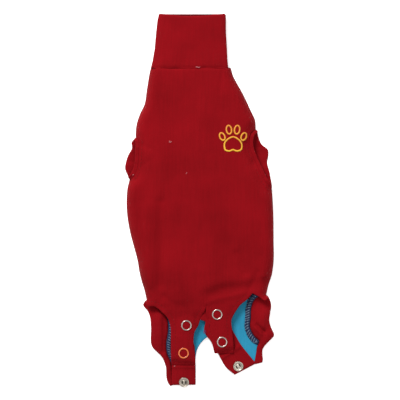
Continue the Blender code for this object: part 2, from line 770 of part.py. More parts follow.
def front_leg_band(name, edge, mouth):
    """A hem round a front leg hole: a flat ring whose lower lip reaches out past its upper one."""
    edge = shifted(marked(edge), -SEAM_GAP)
    edge = edge if edge[0][1] > edge[-1][1] else edge[::-1]
    lip = marked(mouth, 0.001)
    gone = np.r_[0.0, np.cumsum(np.linalg.norm(np.diff(edge, axis=0), axis=1))]
    gone /= gone[-1]
    far = np.linspace(0.0, 1.0, len(lip))
    loops = [[] for _ in range(6)]
    for turn in range(HEM_SIDES):
        angle = 2 * math.pi * turn / HEM_SIDES
        c, s = math.cos(angle), math.sin(angle)
        share = 0.5 - HEM_SPAN / 2 * c
        seam = np.array([np.interp(share, gone, edge[:, i]) for i in (0, 1)])
        reach = np.array([np.interp(share, far, lip[:, i]) for i in (0, 1)])
        upper = 0.5 + 0.5 * math.copysign(abs(s) ** 0.6, s)
        top = float(back_height(np.array([seam]))[0]) - HEM_WALL / 2
        middle = HEM_WALL / 2 + (top - HEM_WALL / 2) * upper
        lower_part = (reach - seam) * (1.0 - upper)
        upper_part = (reach - seam) / np.linalg.norm(reach - seam) * HEM_REACH * upper
        up = np.array([0.0, c * abs(c), s]) / math.hypot(c * c, s)
        for k, part in enumerate((0.0, 0.5, 1.0)):
            spot = np.array([*(seam + (lower_part + upper_part) * part), middle])
            loops[k].append(spot + up * HEM_WALL / 2)
            loops[5 - k].append(spot - up * HEM_WALL / 2)
    corners, faces = looped([np.array(loop) for loop in loops])
    corners[:, 2] = np.maximum(corners[:, 2], 0.0)
    as_object(name, corners, faces, RED_KNIT, 0.85)


def collar_loop(row, inset, y_shift):
    """One loop round the collar at a row, its face moved inwards by an inset."""
    left, right = row.left * COLLAR_WIDTH, row.right * COLLAR_WIDTH
    centre, half = (left + right) / 2, (right - left) / 2 - inset
    tall = row.height * COLLAR_HEIGHT
    loop = []
    for turn in range(COLLAR_SIDES):
        angle = 2 * math.pi * turn / COLLAR_SIDES
        c, s = math.cos(angle), math.sin(angle)
        x = math.copysign(abs(c) ** (2 / COLLAR_SQUARENESS), c)
        z = math.copysign(abs(s) ** (2 / COLLAR_SQUARENESS), s)
        dip = MOUTH_DIP * max(s, 0.0) * (1.0 - x * x) * row.along**6
        y = NECK_SEAM + SEAM_GAP + row.along * (COLLAR_LENGTH - SEAM_GAP) + y_shift - dip
        loop.append((centre + half * x, y, tall / 2 + (tall / 2 - inset) * z))
    return np.array(loop)


def collar():
    lip = COLLAR_ROWS[-1]
    spare = (1.0 - lip.along) * (COLLAR_LENGTH - SEAM_GAP)
    loops = [collar_loop(row, 0.0, 0.0) for row in COLLAR_ROWS]
    loops += [collar_loop(lip, COLLAR_WALL * 0.2, spare * 0.7), collar_loop(lip, COLLAR_WALL * 0.5, spare)]
    loops += [collar_loop(lip, COLLAR_WALL * 0.8, spare * 0.7)]
    loops += [collar_loop(row, COLLAR_WALL, 0.0) for row in reversed(COLLAR_ROWS)]
    corners, faces = looped(loops)
    as_object("collar", corners, faces, RED_KNIT, 0.85)


def snap_ring(name, centre, base_color):
    outer, inner, tall = RING_DIAMETER / 2, RING_DIAMETER / 2 - RING_RIM, RING_HEIGHT
    soft = RING_RIM * 0.25
    profile = [(inner, 0.0), (inner, tall - soft), (inner + soft, tall), (outer - soft, tall)]
    profile += [(outer, tall - soft), (outer, 0.0)]
    turned(name, profile, centre, RING_BOTTOM, base_color, 0.25)


def snap_stud(name, centre):
    """Flange against the strap, and a post with a round end that points down into a socket."""
    flange, post = STUD_DIAMETER / 2, STUD_POST / 2
    profile = [(0.0, STUD_FLANGE), (flange, STUD_FLANGE), (flange, 0.0), (post * 0.85, 0.0)]
    profile += [(post, -STUD_REACH * 0.55), (post * 0.7, -STUD_REACH), (0.0, -STUD_REACH)]
    turned(name, profile, centre, STUD_BOTTOM, NICKEL, 0.3)


def snap_socket(name, centre):
    """A disc with a raised round rim, dished inside it down to a blind bore for the stud."""
    outer, bore, tall = SOCKET_DIAMETER / 2, SOCKET_BORE / 2, SOCKET_HEIGHT
    soft = tall * 0.25
    floor = SOCKET_HEIGHT - STUD_REACH - LAYER_GAP
    profile = [(0.0, 0.0), (outer, 0.0), (outer, tall - soft), (outer - soft, tall)]
    profile += [(bore, tall), (bore, floor), (0.0, floor)]
    turned(name, profile, centre, SOCKET_BOTTOM, NICKEL, 0.35)


def fasteners():
    for side, strap, tab, lower in (
        ("left", LEFT_STRAP, LEFT_TAB, ORANGE_ENAMEL),
        ("right", RIGHT_STRAP, RIGHT_TAB, NICKEL),
    ):
        first, second = snap_places(strap)
        snap_ring(f"snap_ring_{side}_upper", first, NICKEL)
        snap_ring(f"snap_ring_{side}_lower", second, lower)
        snap_stud(f"snap_stud_{side}_upper", first)
        snap_stud(f"snap_stud_{side}_lower", second)
        snap_socket(f"snap_socket_{side}_fastened", second)
        snap_socket(f"snap_socket_{side}_open", tab_place(strap, tab, StrapMark(0.0, 1.0)))


def main():
    for leftover in list(bpy.data.objects):
        bpy.data.objects.remove(leftover, do_unlink=True)
    bpy.context.scene.unit_settings.system = "METRIC"
    collar()
    back_panel()
    belly_panel()
    belly_lining()
    for name, leg_edge, band_edge, toward_leg, rows, corner in (
        ("hind_leg_band_left", LEFT_LEG_EDGE, LEFT_BAND_EDGE, -1, left_tab_rows(), 0),
        ("hind_leg_band_right", RIGHT_LEG_EDGE, RIGHT_BAND_EDGE, 1, right_tab_rows(), -1),
    ):
        start, crease = rows[0][corner, :2], rows[FOLD_STEPS // 2][corner, :2]
        hind_leg_band(name, leg_edge, band_edge, toward_leg, start, crease)
    front_leg_band("front_leg_band_left", LEFT_ARM_EDGE, LEFT_ARM_MOUTH)
    front_leg_band("front_leg_band_right", RIGHT_ARM_EDGE, RIGHT_ARM_MOUTH)
    fasteners()


main()
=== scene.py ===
"""Knitted recovery shirt for a cat or a small dog, lying on its belly on a pale floor, from above.

Metres, in the frame of the CAD model. Each cloth piece stands for the CAD node of its kind. Its
outline has the same marks as that solid, and it adds a finer mesh, drooped strap tips, front hems
that reach the ends of their holes, soft folds, seams and thread.
"""

import math
from collections import namedtuple

import bmesh
import bpy
import numpy as np
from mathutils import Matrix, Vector, geometry


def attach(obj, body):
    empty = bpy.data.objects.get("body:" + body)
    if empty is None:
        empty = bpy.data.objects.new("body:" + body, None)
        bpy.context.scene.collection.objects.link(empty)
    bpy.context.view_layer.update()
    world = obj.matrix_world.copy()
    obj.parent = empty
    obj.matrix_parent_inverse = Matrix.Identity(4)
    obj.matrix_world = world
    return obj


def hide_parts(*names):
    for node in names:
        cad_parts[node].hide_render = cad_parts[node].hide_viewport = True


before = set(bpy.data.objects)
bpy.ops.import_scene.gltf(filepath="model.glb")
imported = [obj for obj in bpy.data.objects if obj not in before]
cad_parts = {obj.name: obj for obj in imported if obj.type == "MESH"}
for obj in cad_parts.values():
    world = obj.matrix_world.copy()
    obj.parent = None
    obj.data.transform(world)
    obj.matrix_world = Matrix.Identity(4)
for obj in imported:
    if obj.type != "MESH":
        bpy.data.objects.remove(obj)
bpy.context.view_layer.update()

# Lengths of the shirt
COLLAR_LENGTH = 0.0543
COLLAR_WIDTH = 0.070
COLLAR_HEIGHT = 0.0108
TORSO_LENGTH = 0.232
TORSO_WIDTH = 0.146
TORSO_HEIGHT = 0.0118
SEAT_LENGTH = 0.0865
STRAP_WIDTH = 0.023
TAB_WIDTH = 0.023

# Walls of the cloth, and the clearance between sewn or snapped pieces
KNIT_WALL = 0.0012
LINING_WALL = 0.0008
COLLAR_WALL = 0.0024
BAND_WALL = 0.0024
HEM_WALL = 0.0014
SEAM_GAP = 0.0004
LAYER_GAP = 0.0003

# Rounding and loft
SIDE_ROLL = 0.0085
FOLD_RADIUS = 0.0014
BAND_LOFT = 0.0032
STRAP_DROOP = 0.0009
STRAP_TIP_DROOP = 0.0026
HEM_DROOP = 0.0028
MOUTH_DIP = 0.0030
COLLAR_SQUARENESS = 3.4
HEM_REACH = 0.0035
HEM_SPAN = 1.0
NEAR_HEM = 0.0060
LINING_START = 0.012
HIP_CLEARANCE = 0.0025

# Snap fasteners
RING_DIAMETER = 0.0105
RING_RIM = 0.0013
RING_HEIGHT = 0.0011
SOCKET_DIAMETER = 0.0099
SOCKET_HEIGHT = 0.0022
STUD_DIAMETER = 0.0086
STUD_FLANGE = 0.0006
SOCKET_TILT = 14.0
SNAP_PITCH = 0.028
SOCKET_PITCH = 0.029
STRAP_END = 0.0115
ROUND_SIDES = 56

# Fineness of the meshes
EDGE_STEP = 0.0018
FINE_STEP = 0.0005
CELL = 0.0019
COLLAR_SIDES = 168
COLLAR_STEPS = 46
HEM_SIDES = 112
TAB_COLUMNS = 17
FOLD_STEPS = 10
ROW_PITCH = 0.87
SAME_SPOT = 1e-5
ROW_CLEARANCE = 0.00025

# Layers from the floor up, under the straps
LINING_BOTTOM = KNIT_WALL + LAYER_GAP
LINING_TOP = LINING_BOTTOM + LINING_WALL
BACK_RIM = KNIT_WALL + LAYER_GAP
TAB_TOP = 2 * FOLD_RADIUS + KNIT_WALL
SOCKET_BOTTOM = TAB_TOP + LAYER_GAP
STRAP_BOTTOM = SOCKET_BOTTOM + SOCKET_HEIGHT + STUD_FLANGE + 2 * LAYER_GAP
STRAP_TOP = STRAP_BOTTOM + KNIT_WALL
SNAP_FLAT = max(RING_DIAMETER, STUD_DIAMETER) / 2 + 2 * LAYER_GAP

# Places in the shirt's own frame
OVERALL_LENGTH = COLLAR_LENGTH + TORSO_LENGTH + SEAT_LENGTH
NECK_SEAM = OVERALL_LENGTH / 2 - COLLAR_LENGTH
NECK_SHARE = 0.480
YOKE = 0.25
BOX_CENTRE = (0.0006, -0.0005, 0.0)
LOFT_STATIONS = (0.00, 0.22, 0.88, 0.99, 1.08)

# Where the uncut cloth starts in its UV map
UV_START = 0.3

# Detail that only shows close up
SEAM_DIP = 0.0007
SEAM_DIP_WIDTH = 0.0016
SEAM_PUCKER = 0.00009
NECK_EASE = 0.00010
HEM_RIDGE = 0.00022
HEM_GROOVE = 0.00020
RING_DENT = 0.00030
RING_CROWN = 0.00025
CREASE_WIDTH = 0.0011
TAB_SWELL = 0.0012
TAB_EASE = 0.00012
LINING_WAVE = 0.00022
BELLY_LIFT = 0.00045
BAND_PUCKER = 0.00012
SNAP_SINK = 0.0003
HEM_FOLD = 0.0042
WALE = 0.00085
COURSE = 0.00070
OVERLOCK_WIDTH = 0.0044
OVERLOCK_INSET = 0.0010
OVERLOCK_PITCH = 0.0025
THREAD_RADIUS = 0.00024

Mark = namedtuple("Mark", "across along")
StrapMark = namedtuple("StrapMark", "side reach")
Strap = namedtuple("Strap", "snap lean")
Tab = namedtuple("Tab", "lean")
Fold = namedtuple("Fold", "across along to_across to_along width depth")
Chain = namedtuple("Chain", "marks width depth")
Wave = namedtuple("Wave", "turn length start depth")
CollarRow = namedtuple("CollarRow", "along left right height")
Crease = namedtuple("Crease", "strap start end depth")
Stitch = namedtuple("Stitch", "run across height")


def marks(*pairs):
    """Marks from pairs of across and along."""
    return [Mark(*pair) for pair in pairs]


def strap_marks(*pairs):
    """Strap marks from pairs of side and reach."""
    return [StrapMark(*pair) for pair in pairs]


# Marks: across is a share of the torso's width from the middle line. Along is a share of the
# torso's length from the collar seam, and past 1 it runs on by shares of the seat's length.
LEFT_SIDE_FRONT = marks(
    (-0.332, 0.000), (-0.343, 0.034), (-0.360, 0.103), (-0.373, 0.155), (-0.408, 0.203),
    (-0.430, 0.250), (-0.435, 0.293),
)
LEFT_ARM_EDGE = marks(
    (-0.435, 0.293), (-0.411, 0.313), (-0.411, 0.353), (-0.414, 0.397), (-0.425, 0.440),
    (-0.449, 0.470), (-0.477, 0.483),
)
LEFT_SIDE_REAR = marks(
    (-0.477, 0.483), (-0.490, 0.517), (-0.497, 0.578), (-0.491, 0.642), (-0.473, 0.707),
    (-0.446, 0.772), (-0.421, 0.832), (-0.410, 0.875), (-0.394, 0.918), (-0.373, 0.961),
    (-0.361, 0.996),
)
LEFT_HIP_EDGE = marks(
    (-0.361, 0.996), (-0.365, 1.035), (-0.356, 1.062), (-0.312, 1.069), (-0.250, 1.145),
    (-0.214, 1.214),
)
LEFT_NOTCH_EDGE = marks(
    (0.007, 1.197), (0.034, 1.121), (0.050, 1.054),
)
RIGHT_NOTCH_EDGE = marks(
    (0.050, 1.054), (0.047, 1.140),
)
RIGHT_HIP_EDGE = marks(
    (0.236, 1.156), (0.284, 1.044), (0.325, 0.996), (0.362, 0.969),
)
RIGHT_EAR = marks(
    (0.362, 0.969), (0.408, 0.983), (0.452, 0.999), (0.464, 0.989), (0.456, 0.976),
)
RIGHT_SIDE_REAR = marks(
    (0.456, 0.976), (0.468, 0.940), (0.493, 0.892), (0.505, 0.836), (0.505, 0.741), (0.504, 0.655),
    (0.500, 0.582), (0.494, 0.526),
)
RIGHT_ARM_EDGE = marks(
    (0.494, 0.526), (0.445, 0.491), (0.401, 0.435), (0.365, 0.384), (0.341, 0.341), (0.338, 0.302),
    (0.353, 0.276), (0.382, 0.265),
)
RIGHT_SIDE_FRONT = marks(
    (0.382, 0.265), (0.377, 0.224), (0.349, 0.185), (0.315, 0.138), (0.284, 0.099), (0.253, 0.065),
    (0.226, 0.032), (0.212, 0.000),
)

# Free mouths of the front leg hems, from the neck end of each hole to its rear end
LEFT_ARM_MOUTH = marks(
    (-0.438, 0.303), (-0.467, 0.321), (-0.462, 0.343), (-0.486, 0.375), (-0.503, 0.409),
    (-0.510, 0.435), (-0.497, 0.459), (-0.484, 0.474),
)
RIGHT_ARM_MOUTH = marks(
    (0.395, 0.272), (0.428, 0.330), (0.466, 0.353), (0.468, 0.379), (0.462, 0.405), (0.479, 0.448),
    (0.492, 0.487), (0.497, 0.513),
)

# The belly's leg edges, from the hip to the folded tab, and the outer edges of the bands there
LEFT_LEG_EDGE = marks(
    (-0.361, 0.996), (-0.325, 1.046), (-0.277, 1.098), (-0.233, 1.168), (-0.216, 1.266),
    (-0.217, 1.393), (-0.228, 1.520), (-0.222, 1.624), (-0.195, 1.728),
)
LEFT_BAND_EDGE = marks(
    (-0.373, 1.018), (-0.386, 1.058), (-0.358, 1.122), (-0.344, 1.185), (-0.336, 1.312),
    (-0.328, 1.543), (-0.257, 1.671), (-0.236, 1.763), (-0.216, 1.960), (-0.204, 1.995),
)
RIGHT_LEG_EDGE = marks(
    (0.456, 0.976), (0.415, 0.983), (0.377, 1.000), (0.356, 1.081), (0.351, 1.208), (0.347, 1.324),
    (0.379, 1.431), (0.409, 1.486), (0.396, 1.538), (0.389, 1.613),
)
RIGHT_BAND_EDGE = marks(
    (0.473, 0.988), (0.483, 1.004), (0.491, 1.058), (0.487, 1.162), (0.482, 1.243), (0.495, 1.324),
    (0.515, 1.405), (0.469, 1.503), (0.437, 1.566), (0.434, 1.717),
)
TAIL_ARCH = marks(
    (-0.030, 1.810), (-0.030, 1.659), (-0.014, 1.555), (0.017, 1.480), (0.062, 1.425),
    (0.103, 1.468), (0.137, 1.595), (0.183, 1.745),
)
LINING_FRONT = marks(
    (0.345, 0.950), (0.300, 0.880), (-0.230, 0.880), (-0.300, 0.950),
)

# The line through each strap's snaps: its first snap, and its lean from the shirt's length
# towards +X in degrees. StrapMark: side is a share of the strap's width from that line, and
# reach counts 0 at the first snap, 1 at the second and 2 at the strap's end.
LEFT_STRAP = Strap(Mark(-0.090, 1.294), -5.7)
RIGHT_STRAP = Strap(Mark(0.1205, 1.168), 10.1)
LEFT_STRAP_OUTER = strap_marks(
    (-0.670, 0.08), (-0.590, 0.57), (-0.530, 1.08), (-0.460, 2.10),
)
LEFT_STRAP_INNER = strap_marks(
    (0.530, 1.92), (0.480, 1.15), (0.375, 0.64), (0.370, 0.21), (0.500, -0.05),
)
RIGHT_STRAP_INNER = strap_marks(
    (-0.532, 0.20), (-0.661, 0.50), (-0.583, 0.71), (-0.463, 0.89), (-0.406, 1.29), (-0.398, 1.86),
)
RIGHT_STRAP_OUTER = strap_marks(
    (0.403, 2.13), (0.457, 1.33), (0.507, 0.64), (0.554, 0.28),
)

# The folded tabs: side in shares of the tab's width, reach in shares of the sockets' pitch
LEFT_TAB = Tab(0.8)
RIGHT_TAB = Tab(33.6)
LEFT_TAB_SIDES = [
    (StrapMark(-0.505, 1.092), StrapMark(0.480, 1.092)),
    (StrapMark(-0.505, 0.700), StrapMark(0.480, 0.700)),
    (StrapMark(-0.505, 0.300), StrapMark(0.480, 0.300)),
    (StrapMark(-0.505, 0.000), StrapMark(0.480, 0.000)),
    (StrapMark(-0.480, -0.280), StrapMark(0.450, -0.280)),
]
RIGHT_TAB_SIDES = [
    (StrapMark(-0.325, 1.180), StrapMark(0.680, 1.260)),
    (StrapMark(-0.452, 0.780), StrapMark(0.648, 0.980)),
    (StrapMark(-0.413, 0.360), StrapMark(0.590, 0.420)),
    (StrapMark(-0.391, 0.000), StrapMark(0.620, 0.050)),
    (StrapMark(-0.320, -0.270), StrapMark(0.640, -0.270)),
]

# Folds of the back: ridges with a depth over 0 and valleys under it. Width is a share of the
# torso's width and depth one of its height.
FOLDS = [
    Fold(-0.264, 0.58, -0.264, 0.93, 0.035, -0.130),
    Fold(-0.360, 0.60, -0.345, 0.91, 0.050, 0.090),
    Fold(-0.175, 0.52, -0.185, 0.84, 0.050, 0.050),
    Fold(0.110, 0.56, 0.180, 0.74, 0.075, -0.120),
    Fold(0.300, 0.50, 0.320, 0.70, 0.070, 0.060),
    Fold(0.257, 0.80, 0.312, 0.88, 0.028, -0.120),
    Fold(0.325, 0.330, 0.373, 0.410, 0.030, -0.110),
    Fold(0.373, 0.410, 0.440, 0.530, 0.030, -0.100),
    Fold(-0.200, 0.16, -0.170, 0.44, 0.070, -0.060),
    Fold(-0.020, 0.14, -0.030, 0.34, 0.012, -0.020),
    Fold(0.362, 0.320, 0.405, 0.400, 0.018, 0.060),
    Fold(0.405, 0.400, 0.470, 0.530, 0.018, 0.060),
    Fold(-0.240, 0.985, -0.180, 1.060, 0.020, -0.090),
    Fold(-0.150, 0.960, -0.110, 1.060, 0.025, 0.060),
    Fold(-0.330, 0.955, -0.270, 1.010, 0.018, -0.060),
    Fold(0.400, 0.880, 0.350, 0.945, 0.020, -0.080),
    Fold(0.430, 0.830, 0.445, 0.900, 0.022, 0.050),
    Fold(-0.390, 0.330, -0.345, 0.350, 0.016, -0.050),
    Fold(-0.390, 0.420, -0.350, 0.400, 0.016, -0.045),
    Fold(-0.300, 0.02, -0.250, 0.09, 0.020, -0.045),
    Fold(0.160, 0.02, 0.140, 0.10, 0.022, -0.045),
]

# Longer folds that run through several marks, with the same shares, and the run in which they end
CHAIN_END = 0.014
CHAINS = [
    Chain(
        marks((0.024, 0.985), (0.147, 0.953), (0.305, 0.937), (0.372, 0.922)),
        0.030, -0.050
    ),
    Chain(
        marks((-0.030, 0.962), (0.060, 0.932), (0.170, 0.908), (0.300, 0.896)),
        0.045, 0.080
    ),
    Chain(
        marks((0.040, 1.060), (0.075, 1.018), (0.135, 0.994), (0.239, 0.981), (0.330, 0.966)),
        0.016, 0.070
    ),
]

# The line at which the back steps down to its straps. In metres: how wide the step is, the run in
# which it starts, and how far it stays over the straps' own height.
STEP_LINE = marks(
    (-0.069, 1.012), (0.024, 0.972), (0.147, 0.940), (0.305, 0.928), (0.420, 0.905),
)
STEP_WIDTH = 0.0110
STEP_START = 0.024
STEP_LANDING = 0.0003

# Slow waves of the lying cloth: turn in degrees from +X, length and depth in metres, start in turns
WAVES = [
    Wave(4, 0.046, 0.10, 0.00034),
    Wave(-9, 0.031, 0.55, 0.00022),
    Wave(14, 0.021, 0.30, 0.00009),
    Wave(82, 0.088, 0.20, 0.00034),
    Wave(63, 0.052, 0.70, 0.00010),
]

# The collar's sections, from its seam to its mouth: left and right are shares of its width
COLLAR_ROWS = [
    CollarRow(0.00, -0.696, 0.412, 1.00),
    CollarRow(0.12, -0.672, 0.402, 1.00),
    CollarRow(0.35, -0.642, 0.393, 0.96),
    CollarRow(0.65, -0.622, 0.380, 0.95),
    CollarRow(0.88, -0.602, 0.379, 0.97),
    CollarRow(0.97, -0.584, 0.379, 0.97),
]


# Places worked out from the marks

def station(along):
    """Distance from the collar seam for a mark's along value."""
    return TORSO_LENGTH * min(along, 1.0) + SEAT_LENGTH * max(along - 1.0, 0.0)


def eased(share):
    share = np.clip(share, 0.0, 1.0)
    return share * share * (3.0 - 2.0 * share)


def bell(away):
    """1 where away is 0, and soon 0 past 1."""
    return np.exp(-away * away)


def swing(run, length, start=0.0):
    """A sine along a run, with one turn in each length. Start is in radians."""
    return np.sin(run * 2 * math.pi / length + start)


def width_at(along):
    """The width that a mark's across value is a share of."""
    neck = COLLAR_WIDTH / NECK_SHARE
    return neck + (TORSO_WIDTH - neck) * float(eased(along / YOKE))


def place(mark):
    return np.array([mark.across * width_at(mark.along), NECK_SEAM - station(mark.along)])


def lean_axes(lean):
    """The direction towards the rear that leans to +X by so many degrees, and the one to its side."""
    angle = math.radians(lean)
    return np.array([math.sin(angle), -math.cos(angle)]), np.array([math.cos(angle), math.sin(angle)])


def strap_place(strap, mark):
    down, side = lean_axes(strap.lean)
    run = SNAP_PITCH * min(mark.reach, 1.0) + STRAP_END * max(mark.reach - 1.0, 0.0)
    return place(strap.snap) + down * run + side * mark.side * STRAP_WIDTH


def snap_places(strap):
    return [strap_place(strap, StrapMark(0.0, reach)) for reach in (0.0, 1.0)]


def tab_place(strap, tab, mark):
    down, side = lean_axes(tab.lean)
    return snap_places(strap)[1] + down * mark.reach * SOCKET_PITCH + side * mark.side * TAB_WIDTH


def curve_through(points, step=EDGE_STEP):
    """Points about a step apart on a smooth curve through the given ones."""
    points = np.array(points)
    lengths = np.linalg.norm(np.diff(points, axis=0), axis=1)[:, None]
    slopes = np.diff(points, axis=0) / lengths
    middle = (slopes[:-1] * lengths[1:] + slopes[1:] * lengths[:-1]) / (lengths[1:] + lengths[:-1])
    tangents = np.vstack([slopes[:1], middle, slopes[-1:]])
    found = []
    for i, length in enumerate(lengths[:, 0]):
        parts = max(1, round(length / step))
        for t in np.arange(parts) / parts:
            found.append(
                points[i] * (1 + 2 * t) * (1 - t) ** 2
                + points[i + 1] * t * t * (3 - 2 * t)
                + tangents[i] * length * t * (1 - t) ** 2
                - tangents[i + 1] * length * t * t * (1 - t)
            )
    return np.array(found + [points[-1]])


def run_of(line):
    """Length of the line gone by at each of its points."""
    return np.r_[0.0, np.cumsum(np.linalg.norm(np.diff(line, axis=0), axis=1))]


def on_line(stops, gone, line):
    """Places on a line at the given stops, where gone is the stop of each of its points."""
    return np.stack([np.interp(stops, gone, column) for column in line.T], axis=-1)


def evenly(line, step=EDGE_STEP):
    """The line again, with its points a whole number of equal steps apart."""
    gone = run_of(line)
    return on_line(np.linspace(0.0, gone[-1], max(2, round(gone[-1] / step) + 1)), gone, line)


def marked(run, step=EDGE_STEP):
    """A smooth line through a run of marks."""
    return curve_through([place(mark) for mark in run], step)


def closed_outline(*runs):
    """One outline of the runs in turn, with each shared corner kept once."""
    spots = []
    for spot in np.vstack(runs):
        if not spots or np.linalg.norm(spot - spots[-1]) > SAME_SPOT:
            spots.append(spot)
    if np.linalg.norm(spots[0] - spots[-1]) < SAME_SPOT:
        spots.pop()
    return np.array(spots)


def to_left(line):
    """Unit vectors to the left of the line, as seen along it."""
    ahead = np.gradient(line, axis=0)
    ahead /= np.linalg.norm(ahead, axis=1)[:, None]
    return np.column_stack([-ahead[:, 1], ahead[:, 0]])


def shifted(line, amount):
    return line + to_left(line) * amount


def nearest(points, line):
    """How far each point lies from a line of points, and how far along the line it lies nearest."""
    gone = run_of(line)
    far, where = np.full(len(points), np.inf), np.zeros(len(points))
    for start, step, before, after in zip(line[:-1], np.diff(line, axis=0), gone[:-1], gone[1:]):
        offset = points - start
        share = np.clip(offset @ step / max(step @ step, 1e-18), 0.0, 1.0)
        away = np.hypot(*(offset - share[:, None] * step).T)
        nearer = away < far
        far[nearer] = away[nearer]
        where[nearer] = (before + (after - before) * share)[nearer]
    return far, where


def distance(points, line):
    return nearest(points, line)[0]


def nearest_of(points, lines):
    """The distance and the way along for the nearest of several lines."""
    pairs = [nearest(points, line) for line in lines]
    far = np.array([pair[0] for pair in pairs])
    which = far.argmin(axis=0)
    column = np.arange(len(points))
    return far[which, column], np.array([pair[1] for pair in pairs])[which, column]


def inside(points, outline):
    """Whether each point lies within a closed outline, by crossings of a ray towards +X."""
    odd = np.zeros(len(points), bool)
    for start, end in zip(outline, np.roll(outline, -1, axis=0)):
        crosses = (start[1] > points[:, 1]) != (end[1] > points[:, 1])
        rise = end[1] - start[1] or 1.0
        meets = start[0] + (points[:, 1] - start[1]) / rise * (end[0] - start[0])
        odd ^= crosses & (points[:, 0] < meets)
    return odd


def filled(outline, cell, rows=()):
    """Corners and triangles that fill an outline, on a grid of cells and on the given rows."""
    closed = np.vstack([outline, outline[:1]])
    low, high = outline.min(0), outline.max(0)
    across, along = np.meshgrid(
        np.arange(low[0] + cell / 2, high[0], cell),
        np.arange(low[1] + cell / 2, high[1], cell * ROW_PITCH),
    )
    across[1::2] += cell / 2
    grid = np.column_stack([across.ravel(), along.ravel()])
    grid = grid[inside(grid, outline)]
    grid = grid[distance(grid, closed) > 0.5 * cell]
    for row in rows:
        row = row[inside(row, outline)]
        row = row[distance(row, closed) > ROW_CLEARANCE]
        if len(row) == 0:
            continue
        clear = np.full(len(grid), np.inf)
        for spot in row:
            clear = np.minimum(clear, np.hypot(*(grid - spot).T))
        grid = np.vstack([grid[clear > 0.5 * cell], row])
    spots = [Vector(spot) for spot in np.vstack([outline, grid])]
    corners, _, triangles, *_ = geometry.delaunay_2d_cdt(
        spots, [], [list(range(len(outline)))], 1, 1e-7
    )
    return np.array([tuple(corner) for corner in corners]), [tuple(face) for face in triangles]


# Meshes

def as_object(name, corners, faces, flat, material, nodes=(), wrap=0.0):
    """A piece from corners and faces. Flat is where each corner lies on the uncut cloth."""
    mesh = bpy.data.meshes.new(name)
    placed = np.asarray(corners) - np.array(BOX_CENTRE)
    mesh.from_pydata(placed.tolist(), [], [tuple(face) for face in faces])
    shape = bmesh.new()
    shape.from_mesh(mesh)
    bmesh.ops.recalc_face_normals(shape, faces=shape.faces)
    layer = shape.loops.layers.uv.new("cloth")
    for face in shape.faces:
        places = [flat[loop.vert.index] for loop in face.loops]
        most = max(spot[0] for spot in places)
        for loop, spot in zip(face.loops, places):
            turn = wrap if wrap and most - spot[0] > wrap / 2 else 0.0
            loop[layer].uv = (spot[0] + turn, spot[1])
    shape.to_mesh(mesh)
    shape.free()
    mesh.shade_smooth()
    mesh.materials.append(material)
    made = bpy.data.objects.new(name, mesh)
    bpy.context.scene.collection.objects.link(made)
    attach(made, "root")
    if nodes:
        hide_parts(*nodes)
    return made


def facing(corners, faces):
    """Unit normals at the corners of a surface, each an average over its faces."""
    normals = np.zeros_like(corners)
    for size in (3, 4):
        group = np.array([face for face in faces if len(face) == size])
        if len(group) == 0:
            continue
        a, b, c = (corners[group[:, i]] for i in (0, 1, -1))
        normal = np.cross(b - a, c - a)
        for i in range(size):
            np.add.at(normals, group[:, i], normal)
    return normals / np.maximum(np.linalg.norm(normals, axis=1)[:, None], 1e-12)


# Where a sheet's round rim has its corners, in degrees over its middle plane
RIM_TURNS = (45.0, 0.0, -45.0)


def cloth(name, corners, faces, flat, wall, outward, lowest, material, nodes):
    """A sheet made a closed wall with a round rim: a share of the wall lies outward of it."""
    normals = facing(corners, faces)
    outer = corners + normals * wall * outward
    inner = corners - normals * wall * (1.0 - outward)
    count = len(corners)
    edges = {(face[i - 1], face[i]) for face in faces for i in range(len(face))}
    free = [(a, b) for a, b in edges if (b, a) not in edges]
    away = np.zeros_like(corners)
    for a, b in free:
        side = np.cross(corners[b] - corners[a], normals[a] + normals[b])
        away[a] += side
        away[b] += side
    border = sorted({a for edge in free for a in edge})
    away = away[border]
    away /= np.maximum(np.linalg.norm(away, axis=1)[:, None], 1e-12)
    middle, up = (outer[border] + inner[border]) / 2, normals[border]
    rims = []
    for turn in RIM_TURNS:
        c, s = math.cos(math.radians(turn)), math.sin(math.radians(turn))
        rims.append(middle + (away * c + up * s) * wall / 2)
    number = {corner: i for i, corner in enumerate(border)}
    every = np.vstack([outer, inner] + rims)
    every[:, 2] = np.maximum(every[:, 2], lowest)
    shell = [tuple(face) for face in faces]
    shell += [tuple(corner + count for corner in reversed(face)) for face in faces]
    for a, b in free:
        i, j = number[a], number[b]
        steps = [(a, b)]
        for k in range(len(rims)):
            start = 2 * count + k * len(border)
            steps.append((start + i, start + j))
        steps += [(a + count, b + count)]
        shell += [(q, p, r, s) for (p, q), (r, s) in zip(steps[:-1], steps[1:])]
    flats = np.vstack([flat, flat] + [flat[border]] * len(rims))
    return as_object(name, every, shell, flats, material, nodes)


def looped(loops):
    """Faces that join loops of equally many corners, each to the next and the last to the first."""
    count = len(loops[0])
    faces = []
    for i in range(len(loops)):
        j = (i + 1) % len(loops)
        for k in range(count):
            m = (k + 1) % count
            faces.append((i * count + k, i * count + m, j * count + m, j * count + k))
    return np.vstack(loops), faces


